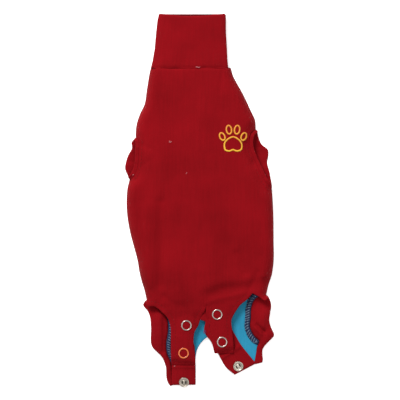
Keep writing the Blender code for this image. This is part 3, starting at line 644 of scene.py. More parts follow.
def threads(name, paths, radius, material, sides=5):
    """Round threads along paths of points, as one piece with closed ends."""
    corners, faces, flats, start = [], [], [], 0
    angles = np.arange(sides) * 2 * math.pi / sides
    for path in paths:
        path = np.asarray(path)
        ahead = np.gradient(path, axis=0)
        ahead /= np.maximum(np.linalg.norm(ahead, axis=1)[:, None], 1e-12)
        side = np.cross(ahead, (0.0, 0.0, 1.0))
        side /= np.maximum(np.linalg.norm(side, axis=1)[:, None], 1e-9)
        up = np.cross(side, ahead)
        gone = run_of(path)
        for spot, across, rise, far in zip(path, side, up, gone):
            for angle in angles:
                corners.append(spot + (across * math.cos(angle) + rise * math.sin(angle)) * radius)
                flats.append((far, angle * radius))
        for i in range(len(path) - 1):
            for k in range(sides):
                m = (k + 1) % sides
                low, high = start + i * sides, start + (i + 1) * sides
                faces.append((low + k, low + m, high + m, high + k))
        faces.append(tuple(start + k for k in reversed(range(sides))))
        faces.append(tuple(start + (len(path) - 1) * sides + k for k in range(sides)))
        start += len(path) * sides
    as_object(name, corners, faces, flats, material)


# Materials

def node(tree, kind, **values):
    made = tree.nodes.new(kind)
    for name, value in values.items():
        setattr(made, name, value)
    return made


def sums(tree, operation, first, second=None, third=None):
    """A Math node whose inputs are sockets or plain numbers."""
    made = node(tree, "ShaderNodeMath", operation=operation)
    for i, value in enumerate((first, second, third)):
        if value is None:
            continue
        if isinstance(value, (int, float)):
            made.inputs[i].default_value = value
        else:
            tree.links.new(value, made.inputs[i])
    return made.outputs[0]


def set_inputs(made, values):
    """Gives inputs of a node plain values, by their names."""
    for name, value in values.items():
        made.inputs[name].default_value = value


def noise(tree, place, scale, detail=2.0):
    made = node(tree, "ShaderNodeTexNoise")
    set_inputs(made, {"Scale": scale, "Detail": detail})
    tree.links.new(place, made.inputs["Vector"])
    return made.outputs["Fac"]


def stretched(tree, place, scale, turn=0.0):
    """A place scaled along each axis and turned, for streaks."""
    made = node(tree, "ShaderNodeMapping")
    set_inputs(made, {"Scale": scale, "Rotation": (0.0, 0.0, turn)})
    tree.links.new(place, made.inputs["Vector"])
    return made.outputs[0]


def blended(tree, first, share, second):
    """A share of the first value and the rest of the second."""
    return sums(tree, "MULTIPLY_ADD", first, share, sums(tree, "MULTIPLY", second, 1.0 - share))


def relief(tree, shader, height, strength, distance):
    """Bumps on the shader's surface from a height."""
    bump = node(tree, "ShaderNodeBump")
    set_inputs(bump, {"Strength": strength, "Distance": distance})
    tree.links.new(height, bump.inputs["Height"])
    tree.links.new(bump.outputs[0], shader.inputs["Normal"])


def map_range(tree, value, from_min, from_max, to_min=0.0, to_max=1.0):
    made = node(tree, "ShaderNodeMapRange")
    set_inputs(made, {"From Min": from_min, "From Max": from_max, "To Min": to_min, "To Max": to_max})
    tree.links.new(value, made.inputs["Value"])
    return made.outputs[0]


def group(name, inputs, outputs):
    """A shader node group with named inputs, each a name, a kind and a value, and named outputs."""
    tree = bpy.data.node_groups.new(name, "ShaderNodeTree")
    for label, kind, value in inputs:
        socket = tree.interface.new_socket(label, in_out="INPUT", socket_type=kind)
        if value is not None:
            socket.default_value = value
    for label in outputs:
        tree.interface.new_socket(label, in_out="OUTPUT", socket_type="NodeSocketFloat")
    return tree, node(tree, "NodeGroupInput"), node(tree, "NodeGroupOutput")


def knit_loops():
    """Rows of small V loops in columns, as jersey knit shows on its face."""
    tree, given, out = group(
        "knit_loops",
        [
            ("Place", "NodeSocketVector", None),
            ("Wale", "NodeSocketFloat", WALE),
            ("Course", "NodeSocketFloat", COURSE),
        ],
        ("Height", "Column"),
    )
    sway = noise(tree, given.outputs["Place"], 55.0, 1.0)
    drift = sums(tree, "MULTIPLY", sums(tree, "SUBTRACT", sway, 0.5), 0.0016)
    split = node(tree, "ShaderNodeSeparateXYZ")
    tree.links.new(given.outputs["Place"], split.inputs[0])
    across = sums(tree, "DIVIDE", sums(tree, "ADD", split.outputs[0], drift), given.outputs["Wale"])
    along = sums(tree, "DIVIDE", split.outputs[1], given.outputs["Course"])
    off = sums(tree, "ABSOLUTE", sums(tree, "SUBTRACT", sums(tree, "FRACT", across), 0.5))
    leg = sums(tree, "ABSOLUTE", sums(tree, "MULTIPLY_ADD", off, 4.0, -1.0))
    leg = sums(tree, "SUBTRACT", 1.0, sums(tree, "POWER", leg, 2.0))
    slant = sums(tree, "MULTIPLY_ADD", off, 1.5, along)
    beat = sums(tree, "SINE", sums(tree, "MULTIPLY", slant, 2 * math.pi))
    beat = sums(tree, "MULTIPLY_ADD", beat, 0.28, 0.72)
    tree.links.new(sums(tree, "MULTIPLY", leg, beat), out.inputs["Height"])
    tree.links.new(leg, out.inputs["Column"])
    return tree


def cloth_tone():
    """Soft clouds and fine lengthwise streaks, from 0 to 1, for the uneven dye of knitted cloth."""
    tree, given, out = group("cloth_tone", [("Place", "NodeSocketVector", None)], ("Tone",))
    place = given.outputs["Place"]
    clouds = noise(tree, place, 26.0, 3.0)
    streaks = noise(tree, stretched(tree, place, (620.0, 34.0, 1.0)), 1.0)
    tree.links.new(blended(tree, streaks, 0.32, clouds), out.inputs["Tone"])
    return tree


def fine_scratches():
    """Hairlines and a soft tarnish for small metal parts, from 0 to 1."""
    tree, given, out = group("fine_scratches", [("Place", "NodeSocketVector", None)], ("Wear",))
    place = given.outputs["Place"]
    lines = noise(tree, stretched(tree, place, (9000.0, 700.0, 900.0), 0.6), 1.0, 3.0)
    stain = noise(tree, place, 420.0)
    tree.links.new(blended(tree, lines, 0.5, stain), out.inputs["Wear"])
    return tree


def material(name, roughness, metallic=0.0):
    made = bpy.data.materials.new(name)
    made.use_nodes = True
    shader = made.node_tree.nodes["Principled BSDF"]
    set_inputs(shader, {"Roughness": roughness, "Metallic": metallic})
    return made, made.node_tree, shader


def placed_group(tree, group_tree, place):
    made = node(tree, "ShaderNodeGroup", node_tree=group_tree)
    tree.links.new(place, made.inputs["Place"])
    return made


def ramp(tree, factor, stops):
    """A colour that runs from one to another between two stops of a factor."""
    made = node(tree, "ShaderNodeValToRGB")
    for element, (position, colour) in zip(made.color_ramp.elements, stops):
        element.position, element.color = position, (*colour, 1.0)
    tree.links.new(factor, made.inputs[0])
    return made.outputs[0]


def knit_cloth(name, groups, dark, light, wale, course, depth, sheen):
    """Jersey knit: loops in relief, uneven dye, painted shade between the loops and a fuzzy sheen."""
    made, tree, shader = material(name, 0.92)
    uv = node(tree, "ShaderNodeUVMap", uv_map="cloth").outputs[0]
    loops = placed_group(tree, groups["loops"], uv)
    set_inputs(loops, {"Wale": wale, "Course": course})
    tone = placed_group(tree, groups["tone"], uv)
    # The base colour is lighter on the loops' crests and darker between them: painted shade in the knit's
    # hollows, mixed with the uneven dye.
    dye_and_loop_shade = blended(tree, loops.outputs["Height"], 0.16, tone.outputs["Tone"])
    tree.links.new(ramp(tree, dye_and_loop_shade, [(0.22, dark), (0.72, light)]), shader.inputs["Base Color"])
    relief(tree, shader, loops.outputs["Height"], 0.75, depth)
    tint = [min(1.0, 2.6 * c + 0.03) for c in light]
    set_inputs(shader, {"Sheen Weight": sheen, "Sheen Roughness": 0.45, "Sheen Tint": (*tint, 1.0)})
    set_inputs(shader, {"Specular IOR Level": 0.07})
    return made


def thread(name, colour, pale):
    """Twisted sewing thread with a slight gloss, painted lighter on the twist's ridges and darker in its
    grooves as shade.
    """
    made, tree, shader = material(name, 0.55)
    uv = node(tree, "ShaderNodeUVMap", uv_map="cloth").outputs[0]
    twist = node(tree, "ShaderNodeTexWave", wave_type="BANDS", bands_direction="DIAGONAL")
    set_inputs(twist, {"Scale": 900.0, "Distortion": 0.6})
    tree.links.new(uv, twist.inputs["Vector"])
    # Pale on the twist's ridges and the plain colour in its grooves: painted shade along the twist.
    tone = ramp(tree, twist.outputs["Fac"], [(0.1, colour), (0.9, pale)])
    tree.links.new(tone, shader.inputs["Base Color"])
    relief(tree, shader, twist.outputs["Fac"], 0.5, 0.00006)
    set_inputs(shader, {"Sheen Weight": 0.03, "Specular IOR Level": 0.12})
    return made


def metal(name, groups, dark, light, low, high):
    """Plated metal whose tone and roughness, from low to high, follow its fine wear."""
    made, tree, shader = material(name, low, 1.0)
    place = node(tree, "ShaderNodeTexCoord").outputs["Object"]
    wear = placed_group(tree, groups["scratches"], place).outputs["Wear"]
    tree.links.new(ramp(tree, wear, [(0.3, light), (0.75, dark)]), shader.inputs["Base Color"])
    tree.links.new(map_range(tree, wear, 0.3, 0.7, low, high), shader.inputs["Roughness"])
    return made


def enamel(name, groups, dark, light):
    """Gloss paint over metal, a little chipped in tone."""
    made, tree, shader = material(name, 0.3)
    place = node(tree, "ShaderNodeTexCoord").outputs["Object"]
    wear = placed_group(tree, groups["scratches"], place).outputs["Wear"]
    tree.links.new(ramp(tree, wear, [(0.3, light), (0.8, dark)]), shader.inputs["Base Color"])
    set_inputs(shader, {"Coat Weight": 0.5, "Coat Roughness": 0.12})
    return made


def embroidery_silk(name, top, bottom, from_y, to_y):
    """Glossy embroidery thread whose colour runs from one tone to another along the shirt."""
    made, tree, shader = material(name, 0.42)
    split = node(tree, "ShaderNodeSeparateXYZ")
    tree.links.new(node(tree, "ShaderNodeTexCoord").outputs["Object"], split.inputs[0])
    share = map_range(tree, split.outputs[1], from_y, to_y)
    tree.links.new(ramp(tree, share, [(0.0, bottom), (1.0, top)]), shader.inputs["Base Color"])
    set_inputs(shader, {"Sheen Weight": 0.08})
    return made


def finishes():
    groups = {"loops": knit_loops(), "tone": cloth_tone(), "scratches": fine_scratches()}
    return {
        "red": knit_cloth(
            "red_knit", groups, (0.127, 0.0008, 0.0025), (0.212, 0.0018, 0.0050),
            WALE, COURSE, 0.00014, 0.025
        ),
        "turquoise": knit_cloth(
            "turquoise_knit", groups, (0.0135, 0.155, 0.262), (0.027, 0.245, 0.385),
            0.0007, 0.0006, 0.0001, 0.04
        ),
        "navy": thread("navy_thread", (0.007, 0.014, 0.040), (0.018, 0.030, 0.074)),
        "pale": thread("pale_thread", (0.120, 0.190, 0.270), (0.26, 0.35, 0.43)),
        "purple": thread("purple_thread", (0.060, 0.012, 0.060), (0.13, 0.035, 0.12)),
        "red_thread": thread("red_thread", (0.120, 0.0006, 0.0016), (0.18, 0.0012, 0.0030)),
        # A near-black thread laid in the collar's mouth: painted shade inside the folded collar.
        "mouth_shade_thread": thread("mouth_shade_thread", (0.020, 0.0006, 0.0012), (0.045, 0.0012, 0.0022)),
        "lint": thread("lint", (0.40, 0.10, 0.12), (0.55, 0.24, 0.24)),
        "nickel": metal("nickel", groups, (0.36, 0.30, 0.27), (0.56, 0.48, 0.44), 0.18, 0.34),
        "socket": metal("socket_nickel", groups, (0.33, 0.29, 0.24), (0.50, 0.45, 0.38), 0.30, 0.46),
        # Near-black steel for the springs, which also paints the shade deep in the sockets' slots and bore.
        "spring_and_recess_shade": metal("spring_steel_and_recess_shade", groups, (0.030, 0.026, 0.022), (0.085, 0.075, 0.065), 0.36, 0.5),
        "orange": enamel("orange_enamel", groups, (0.42, 0.075, 0.012), (0.60, 0.13, 0.020)),
        "silk": embroidery_silk(
            "embroidery_silk", (0.62, 0.21, 0.012), (0.64, 0.38, 0.008),
            MOTIF_Y - MOTIF_REACH, MOTIF_Y + MOTIF_REACH
        ),
    }


# Back panel

def side_seams():
    runs = (LEFT_SIDE_FRONT, LEFT_SIDE_REAR, RIGHT_SIDE_REAR, RIGHT_SIDE_FRONT)
    return [marked(run) for run in runs]


def loft(along):
    """Height of the back panel's outer face over its middle."""
    heights = (COLLAR_HEIGHT, TORSO_HEIGHT, TORSO_HEIGHT, (TORSO_HEIGHT + STRAP_TOP) / 2, STRAP_TOP)
    return np.interp(along, LOFT_STATIONS, heights)


def along_of(y):
    run = NECK_SEAM - y
    return np.where(run < TORSO_LENGTH, run / TORSO_LENGTH, 1.0 + (run - TORSO_LENGTH) / SEAT_LENGTH)


def marked_line(start, end):
    return np.array([place(start), place(end)])


def folds_at(points):
    """How far the folds lift the back's cloth."""
    raised = np.zeros(len(points))
    for fold in FOLDS:
        line = marked_line(Mark(fold.across, fold.along), Mark(fold.to_across, fold.to_along))
        away = distance(points, line) / (fold.width * TORSO_WIDTH)
        raised += fold.depth * TORSO_HEIGHT * bell(away)
    for chain in CHAINS:
        line = marked(chain.marks)
        far, gone = nearest(points, line)
        away = far / (chain.width * TORSO_WIDTH)
        ends = eased(gone / CHAIN_END + 0.1) * eased((run_of(line)[-1] - gone) / CHAIN_END + 0.1)
        raised += chain.depth * TORSO_HEIGHT * ends * bell(away)
    return raised


def waves_at(points):
    """How far the slow waves lift the back's cloth."""
    raised = np.zeros(len(points))
    for wave in WAVES:
        turn = math.radians(wave.turn)
        run = points @ np.array([math.cos(turn), math.sin(turn)])
        raised += wave.depth * swing(run, wave.length, 2 * math.pi * wave.start)
    return raised


def strap_edges():
    """The free edges of the back panel's rear: hips, straps and notch, in turn."""
    hips = [[place(mark) for mark in edge] for edge in (LEFT_HIP_EDGE, RIGHT_HIP_EDGE)]
    notch = [[place(mark) for mark in edge] for edge in (LEFT_NOTCH_EDGE, RIGHT_NOTCH_EDGE)]
    left = [[strap_place(LEFT_STRAP, mark) for mark in edge] for edge in (LEFT_STRAP_OUTER, LEFT_STRAP_INNER)]
    right = [
        [strap_place(RIGHT_STRAP, mark) for mark in edge] for edge in (RIGHT_STRAP_INNER, RIGHT_STRAP_OUTER)
    ]
    edges = (hips[0] + left[0], left[1] + notch[0], notch[1] + right[0], right[1] + hips[1])
    return [curve_through(edge) for edge in edges]


def roll_at(points):
    """1 over the middle of the back and 0 at its side seams, as a round side would rise."""
    seam, gone = nearest_of(points, side_seams())
    return np.sqrt(1.0 - (1.0 - np.clip(seam / SIDE_ROLL, 0.0, 1.0)) ** 2), seam, gone


def stepped(crown, points):
    """The back's crown with its step down to the straps."""
    line = marked(STEP_LINE)
    far, gone = nearest(points, line)
    behind = points[:, 1] < np.interp(points[:, 0], line[:, 0], line[:, 1])
    share = eased(np.where(behind, far, -far) / STEP_WIDTH + 0.4) * eased(gone / STEP_START)
    low = np.minimum(crown, STRAP_TOP + STEP_LANDING)
    return crown + (low - crown) * share


def back_height(points):
    """Outer face of the back panel: a lofted middle, rolled over at the side seams."""
    along = along_of(points[:, 1])
    roll, seam, gone = roll_at(points)
    crown = stepped(loft(along), points)
    hem = np.min([distance(points, marked(run)) for run in (LEFT_ARM_EDGE, RIGHT_ARM_EDGE)], axis=0)
    crown = crown - HEM_DROOP * bell(hem / NEAR_HEM)
    for strap in (LEFT_STRAP, RIGHT_STRAP):
        line = np.array(snap_places(strap))
        far = distance(points, line)
        off = eased((far - SNAP_FLAT) / (STRAP_WIDTH / 2 - SNAP_FLAT))
        near = far < STRAP_WIDTH
        crown = crown - np.where(near, STRAP_DROOP * off * eased((along - 1.10) / 0.12), 0.0)
        past = (points - line[1]) @ lean_axes(strap.lean)[0]
        tip = eased((past - SNAP_FLAT) / (STRAP_END - SNAP_FLAT))
        crown = crown - np.where(near, STRAP_TIP_DROOP * tip, 0.0)
    flat = eased((along - 1.00) / 0.09)
    height = BACK_RIM + (crown - BACK_RIM) * roll
    height += (folds_at(points) + waves_at(points)) * roll * (1.0 - flat)
    return height + back_detail(points, roll, seam, gone, flat)


def back_detail(points, roll, seam, gone, flat):
    """Puckers along the seams, the dip at the collar, turned hems and the dimples of the snaps."""
    pucker = swing(gone, 0.0078) + 0.6 * swing(gone, 0.0051, 1.7)
    raised = SEAM_PUCKER * pucker * bell(seam / 0.006) * roll
    neck = NECK_SEAM - points[:, 1]
    raised -= SEAM_DIP * bell(neck / SEAM_DIP_WIDTH)
    ease = swing(points[:, 0], 0.0062) + 0.5 * swing(points[:, 0], 0.0041)
    raised += NECK_EASE * ease * bell((neck - 0.003) / 0.004)
    hem = np.min([distance(points, run) for run in strap_edges()], axis=0)
    raised += HEM_RIDGE * bell((hem - HEM_FOLD * 0.45) / (HEM_FOLD * 0.35))
    raised -= HEM_GROOVE * bell((hem - HEM_FOLD) / 0.0006)
    for strap in (LEFT_STRAP, RIGHT_STRAP):
        for centre in snap_places(strap):
            r = np.hypot(*(points - centre).T)
            raised -= RING_DENT * bell((r - RING_DIAMETER / 2) / 0.0009)
            raised += RING_CROWN * bell(r / (RING_DIAMETER * 0.25))
    for crease in STRAP_CREASES:
        line = np.array([strap_place(crease.strap, mark) for mark in (crease.start, crease.end)])
        raised += crease.depth * bell(distance(points, line) / CREASE_WIDTH)
    return raised


# Creases across the straps, with their depth in metres
STRAP_CREASES = [
    Crease(LEFT_STRAP, StrapMark(-0.55, 0.34), StrapMark(0.42, 0.31), -0.00030),
    Crease(LEFT_STRAP, StrapMark(-0.55, 0.40), StrapMark(0.42, 0.37), 0.00014),
    Crease(RIGHT_STRAP, StrapMark(-0.45, -0.36), StrapMark(0.45, -0.30), -0.00030),
    Crease(RIGHT_STRAP, StrapMark(-0.55, 0.62), StrapMark(-0.10, 0.56), -0.00016),
]


def rolled_out(points, roll):
    """Where points of the back lie on the flat cloth, with the height of its sides laid out."""
    extra = 0.6 * (TORSO_HEIGHT - BACK_RIM) * (1.0 - roll)
    return np.column_stack([points[:, 0] + np.sign(points[:, 0]) * extra, points[:, 1]]) + UV_START


def ring_round(centre, radius, count):
    angles = np.arange(count) * 2 * math.pi / count
    return centre + np.column_stack([np.cos(angles), np.sin(angles)]) * radius


def back_panel(finish):
    neck = marked_line(RIGHT_SIDE_FRONT[-1], LEFT_SIDE_FRONT[0])
    straps = strap_edges()
    outline = closed_outline(
        marked(LEFT_SIDE_FRONT),
        marked(LEFT_ARM_EDGE),
        marked(LEFT_SIDE_REAR),
        *straps,
        marked(RIGHT_EAR),
        marked(RIGHT_SIDE_REAR),
        marked(RIGHT_ARM_EDGE),
        marked(RIGHT_SIDE_FRONT),
        curve_through(neck)[1:-1],
    )
    rows = []
    for runs, reach, shares in (
        (side_seams(), SIDE_ROLL, (0.04, 0.12, 0.26, 0.45, 0.7)),
        (straps, HEM_FOLD, (0.22, 0.5, 0.8, 1.0, 1.25)),
    ):
        rows += [shifted(run, reach * share) for run in runs for share in shares]
    across = np.linspace(neck[0][0], neck[1][0], 50)
    rows += [np.column_stack([across, np.full(50, NECK_SEAM - step)]) for step in (0.0007, 0.0015, 0.0025)]
    for strap in (LEFT_STRAP, RIGHT_STRAP):
        for centre in snap_places(strap):
            for share in (0.25, 0.6, 0.85, 1.0, 1.15):
                rows.append(ring_round(centre, RING_DIAMETER / 2 * share, round(10 + 24 * share)))
    corners, faces = filled(outline, CELL, rows)
    flat = rolled_out(corners, roll_at(corners)[0])
    corners = np.column_stack([corners, back_height(corners)])
    made = cloth(
        "back_cloth", corners, faces, flat, KNIT_WALL, 0.0, 0.0006, finish["red"], ["back_panel"]
    )


# Belly, its lining and the folded tabs

def tab_rows(strap, tab, sides, columns):
    """Rows of a tab's middle surface, from the flat prong round the fold to its hidden end."""
    left = curve_through([tab_place(strap, tab, pair[0]) for pair in sides], 0.0016)
    right = curve_through([tab_place(strap, tab, pair[1]) for pair in sides], 0.0016)
    count = max(len(left), len(right))
    left, right = (evenly(line, run_of(line)[-1] / (count - 1)) for line in (left, right))
    share = np.linspace(0.0, 1.0, columns)[:, None]
    edge = left[0] + (right[0] - left[0]) * share
    along_fold = (right[0] - left[0]) / np.linalg.norm(right[0] - left[0])
    inward = np.array([-along_fold[1], along_fold[0]])
    middle = KNIT_WALL / 2 + FOLD_RADIUS
    rows = []
    for turn in range(FOLD_STEPS + 1):
        angle = math.pi * (turn / FOLD_STEPS - 0.5)
        spots = edge + inward * FOLD_RADIUS * (1.0 - math.cos(angle))
        rows.append(np.column_stack([spots, np.full(columns, middle + FOLD_RADIUS * math.sin(angle))]))
    for start, end in zip(left[2:], right[2:]):
        spots = start + (end - start) * share
        past = (spots - snap_places(strap)[1]) @ lean_axes(tab.lean)[0] - STRAP_END
        swell = TAB_SWELL * bell((past - 0.0019) / 0.0018)
        height = middle + FOLD_RADIUS + tab_ease(share[:, 0]) + swell
        rows.append(np.column_stack([spots, height]))
    return rows


def tab_ease(share):
    """The turned edges of a tab stand a little over its middle."""
    return TAB_EASE * (bell((share - 0.06) / 0.07) + bell((share - 0.94) / 0.07))


def leg_line(run, corner):
    """A leg edge of the belly, from the hip to the corner where a tab's fold starts."""
    return curve_through([place(mark) for mark in run] + [corner], FINE_STEP)


def left_tab_rows():
    return tab_rows(LEFT_STRAP, LEFT_TAB, LEFT_TAB_SIDES, TAB_COLUMNS)


def right_tab_rows():
    return tab_rows(RIGHT_STRAP, RIGHT_TAB, RIGHT_TAB_SIDES, TAB_COLUMNS)


def arch_line(left, right):
    return curve_through([left[-1]] + [place(mark) for mark in TAIL_ARCH] + [right[0]])


def belly_outline(left, right):
    neck = marked_line(RIGHT_SIDE_FRONT[-1], LEFT_SIDE_FRONT[0])
    return closed_outline(
        marked(LEFT_SIDE_FRONT),
        marked(LEFT_ARM_EDGE),
        marked(LEFT_SIDE_REAR),
        evenly(leg_line(LEFT_LEG_EDGE, left[0])),
        left,
        arch_line(left, right),
        right,
        evenly(leg_line(RIGHT_LEG_EDGE, right[-1])[::-1]),
        marked(RIGHT_SIDE_REAR),
        marked(RIGHT_ARM_EDGE),
        marked(RIGHT_SIDE_FRONT),
        curve_through(neck, 0.004)[1:-1],
    )


def belly_panel(finish):
    sets = (left_tab_rows(), right_tab_rows())
    outline = belly_outline(*[rows[0][:, :2] for rows in sets])
    corners, faces = filled(outline, 2.0 * CELL)
    seam = nearest_of(corners, side_seams())[0]
    lift = BELLY_LIFT * np.clip(1.0 - seam / 0.004, 0.0, 1.0) ** 2
    flat = corners + UV_START
    corners = np.column_stack([corners, KNIT_WALL / 2 + lift])
    for rows in sets:
        ahead = [int(np.linalg.norm(corners - spot, axis=1).argmin()) for spot in rows[0]]
        for before, row in zip(rows[:-1], rows[1:]):
            fresh = list(range(len(corners), len(corners) + len(row)))
            corners = np.vstack([corners, row])
            step = np.linalg.norm(row - before, axis=1).mean()
            flat = np.vstack([flat, flat[ahead] - np.array([0.0, step])])
            for k in range(len(row) - 1):
                faces.append((ahead[k], fresh[k], fresh[k + 1], ahead[k + 1]))
            ahead = fresh
    made = cloth(
        "belly_cloth", corners, faces, flat, KNIT_WALL, 0.5, 0.0, finish["red"], ["belly_panel"]
    )


def lining_height(points):
    """The lining lies on the belly in slow waves."""
    wave = np.sin(points[:, 0] / 0.0062 + points[:, 1] / 0.011) * np.sin(points[:, 1] / 0.009 + 0.8)
    return LINING_BOTTOM + LINING_WAVE * (1.0 + wave)


def belly_lining(finish):
    left, right = left_tab_rows()[0][:, :2], right_tab_rows()[0][:, :2]
    legs = []
    for run, corner, inward in ((LEFT_LEG_EDGE, left[0], 1), (RIGHT_LEG_EDGE, right[-1], -1)):
        line = shifted(leg_line(run, corner), inward * SEAM_GAP)
        legs.append(evenly(line[np.linalg.norm(line - line[0], axis=1) > LINING_START]))
    arch = arch_line(left, right)
    outline = closed_outline(legs[0], left[1:], arch, right[:-1], legs[1][::-1], marked(LINING_FRONT))
    corners, faces = filled(outline, 1.15 * CELL)
    flat = corners + UV_START
    corners = np.column_stack([corners, lining_height(corners)])
    made = cloth(
        "lining_cloth", corners, faces, flat, LINING_WALL, 1.0, LINING_BOTTOM - LAYER_GAP,
        finish["turquoise"], ["belly_lining"]
    )


# Turned cloth that shows in the shade beside the straps: its corners and its height
Facing = namedtuple("Facing", "side marks height")
FACINGS = [
    Facing(
        "notch",
        marks((0.004, 1.222), (0.030, 1.130), (0.046, 1.046), (0.080, 1.020), (0.082, 1.270)),
        0.0058
    ),
    Facing(
        "left",
        marks((-0.226, 1.160), (-0.226, 1.070), (-0.180, 1.020), (-0.150, 1.240), (-0.188, 1.245)),
        0.0046
    ),
]


def facings(finish):
    for piece in FACINGS:
        spots = [place(mark) for mark in piece.marks]
        area = sum(a[0] * b[1] - a[1] * b[0] for a, b in zip(spots, spots[1:] + spots[:1]))
        spots = spots if area > 0 else spots[::-1]
        outline = evenly(np.array(spots + spots[:1]), 0.001)[:-1]
        corners, faces = filled(outline, 0.0014)
        flat = corners + UV_START
        corners = np.column_stack([corners, np.full(len(corners), piece.height)])
        cloth(
            f"strap_facing_{piece.side}", corners, faces, flat, KNIT_WALL, 1.0, 0.0,
            finish["red"], []
        )


# Bands at the hind legs

BandFold = namedtuple("BandFold", "start to width depth")
LEFT_BAND_FOLDS = [
    BandFold(Mark(-0.345, 1.06), Mark(-0.300, 1.14), 0.0026, -0.0008),
    BandFold(Mark(-0.268, 1.18), Mark(-0.262, 1.50), 0.0030, 0.0006),
    BandFold(Mark(-0.240, 1.20), Mark(-0.246, 1.60), 0.0026, -0.0016),
    BandFold(Mark(-0.325, 1.50), Mark(-0.262, 1.60), 0.0022, -0.0006),
    BandFold(Mark(-0.228, 1.72), Mark(-0.212, 1.90), 0.0016, -0.0006),
]
RIGHT_BAND_FOLDS = [
    BandFold(Mark(0.392, 1.290), Mark(0.442, 1.370), 0.0016, -0.0026),
    BandFold(Mark(0.384, 1.330), Mark(0.425, 1.400), 0.0018, 0.0011),
    BandFold(Mark(0.385, 1.05), Mark(0.378, 1.25), 0.0034, -0.0018),
    BandFold(Mark(0.440, 1.08), Mark(0.437, 1.30), 0.0045, 0.0012),
    BandFold(Mark(0.478, 1.30), Mark(0.440, 1.40), 0.0024, -0.0007),
    BandFold(Mark(0.415, 1.50), Mark(0.420, 1.62), 0.0020, -0.0007),
]


def hind_leg_band(
    name, leg_edge, band_edge, toward_leg, corner, tip, folds, node_name, finish
):
    """A folded band sewn along a leg edge: flat at its two edges and ends, raised between them."""
    seam = np.vstack([leg_line(leg_edge, corner), tip])
    seam = seam[np.linalg.norm(seam - seam[0], axis=1) > HIP_CLEARANCE]
    inner = evenly(shifted(seam, toward_leg * SEAM_GAP))
    outer = marked(band_edge)
    rim = shifted(outer, -toward_leg * BAND_WALL * 0.4)
    outline = closed_outline(inner, rim[::-1]) if toward_leg < 0 else closed_outline(rim, inner[::-1])
    ends = np.array([(inner[0] + outer[0]) / 2, (inner[-1] + outer[-1]) / 2])

    def height(points):
        near, gone = nearest(points, inner)
        far = distance(points, outer)
        share = near / np.maximum(near + far, 1e-9)
        end = np.min([np.linalg.norm(points - spot, axis=1) for spot in ends], axis=0)
        body = np.sqrt(np.sin(math.pi * share)) * eased(end / 0.020 - 0.2)
        raised = BAND_LOFT * body
        for fold in folds:
            away = distance(points, marked_line(fold.start, fold.to)) / fold.width
            raised += fold.depth * bell(away) * body
        pucker = swing(gone, 0.0068) + 0.7 * swing(gone, 0.0043, 0.9)
        raised += BAND_PUCKER * pucker * bell(near / 0.004) * body
        return BAND_WALL + raised

    corners, faces = filled(outline, 0.75 * CELL)
    flat = corners + UV_START
    corners = np.column_stack([corners, height(corners)])
    made = cloth(name, corners, faces, flat, BAND_WALL, 0.0, 0.0, finish["red"], [node_name])


# Overlocked seam allowances on the lining: the strip's section, as shares of its width and heights
# in metres, and the ways of its threads, as shares of the pitch and the width, and heights
ALLOWANCE_SECTION = (
    (-0.22, 0.0), (-0.22, 0.0004), (0.25, 0.00085), (0.75, 0.0008), (1.0, 0.0005), (1.0, 0.0)
)
ALLOWANCE_STEP = 0.0011
LOOPER = (
    Stitch(0.0, 0.02, 0.0006), Stitch(0.15, 0.30, 0.00105),
    Stitch(0.55, 0.70, 0.00100), Stitch(0.75, 1.02, 0.00045),
)
RETURN = (Stitch(0.75, 1.02, 0.00040), Stitch(0.85, 0.60, 0.00095), Stitch(0.95, 0.10, 0.00085))
NEEDLE = (
    Stitch(0.0, 0.62, 0.00098), Stitch(0.30, 0.64, 0.00128),
    Stitch(0.70, 0.61, 0.00128), Stitch(0.92, 0.62, 0.00098),
)

def overlock(side, leg_edge, corner, inward, start, until, finish):
    """A cut edge bound in thread: a strip along the leg edge, with loops across it."""
    line = leg_line(leg_edge, corner)
    first, last = (place(Mark(0.0, along))[1] for along in (start, until))
    line = line[(line[:, 1] < first) & (line[:, 1] > last)]
    line = evenly(shifted(line, inward * OVERLOCK_INSET), ALLOWANCE_STEP)
    normal = to_left(line) * inward
    gone = run_of(line)
    wobble = 0.00018 * np.sin(gone / 0.0031) + 0.00012 * np.sin(gone / 0.0013 + 1.0)
    base = LINING_TOP + 0.0001
    loops = []
    for share, height in ALLOWANCE_SECTION:
        spots = line + normal * (share * (OVERLOCK_WIDTH + wobble))[:, None]
        loops.append(np.column_stack([spots, np.full(len(line), base + height)]))
    count, turns = len(line), len(loops)
    corners, faces = np.vstack(loops), []
    for i in range(turns):
        j = (i + 1) % turns
        for k in range(count - 1):
            faces.append((i * count + k, i * count + k + 1, j * count + k + 1, j * count + k))
    faces.append(tuple(i * count for i in reversed(range(turns))))
    faces.append(tuple(i * count + count - 1 for i in range(turns)))
    flat = corners[:, :2] + UV_START
    as_object(f"seam_allowance_{side}", corners, faces, flat, finish["navy"])

    def sewn(stop, steps, sway=0.0):
        path = []
        for step in steps:
            run = stop + (step.run + (sway if step.run > 0.5 else 0.0)) * OVERLOCK_PITCH
            spot = on_line(run, gone, line) + on_line(run, gone, normal) * OVERLOCK_WIDTH * step.across
            path.append((*spot, base + step.height))
        return path

    stops = np.arange(OVERLOCK_PITCH, gone[-1] - OVERLOCK_PITCH, OVERLOCK_PITCH)
    for kind, colour, paths in (
        ("loops", "pale", [sewn(stop, LOOPER, 0.12 * math.sin(i * 2.3)) for i, stop in enumerate(stops)]),
        ("returns", "navy", [sewn(stop, RETURN) for stop in stops]),
        ("line", "navy", [sewn(stop, NEEDLE) for stop in stops]),
    ):
        threads(f"overlock_{kind}_{side}", paths, THREAD_RADIUS, finish[colour])


# Hems of the front legs: shares of the reach, and of the wall's thickness there
HEM_SECTION = (
    (0.0, 0.6), (0.12, 1.0), (0.35, 1.0), (0.6, 0.95), (0.8, 1.1), (0.92, 1.15), (1.0, 0.8), (1.05, 0.0)
)
HEM_CUT = 0.009
HEM_TURN = 0.0009

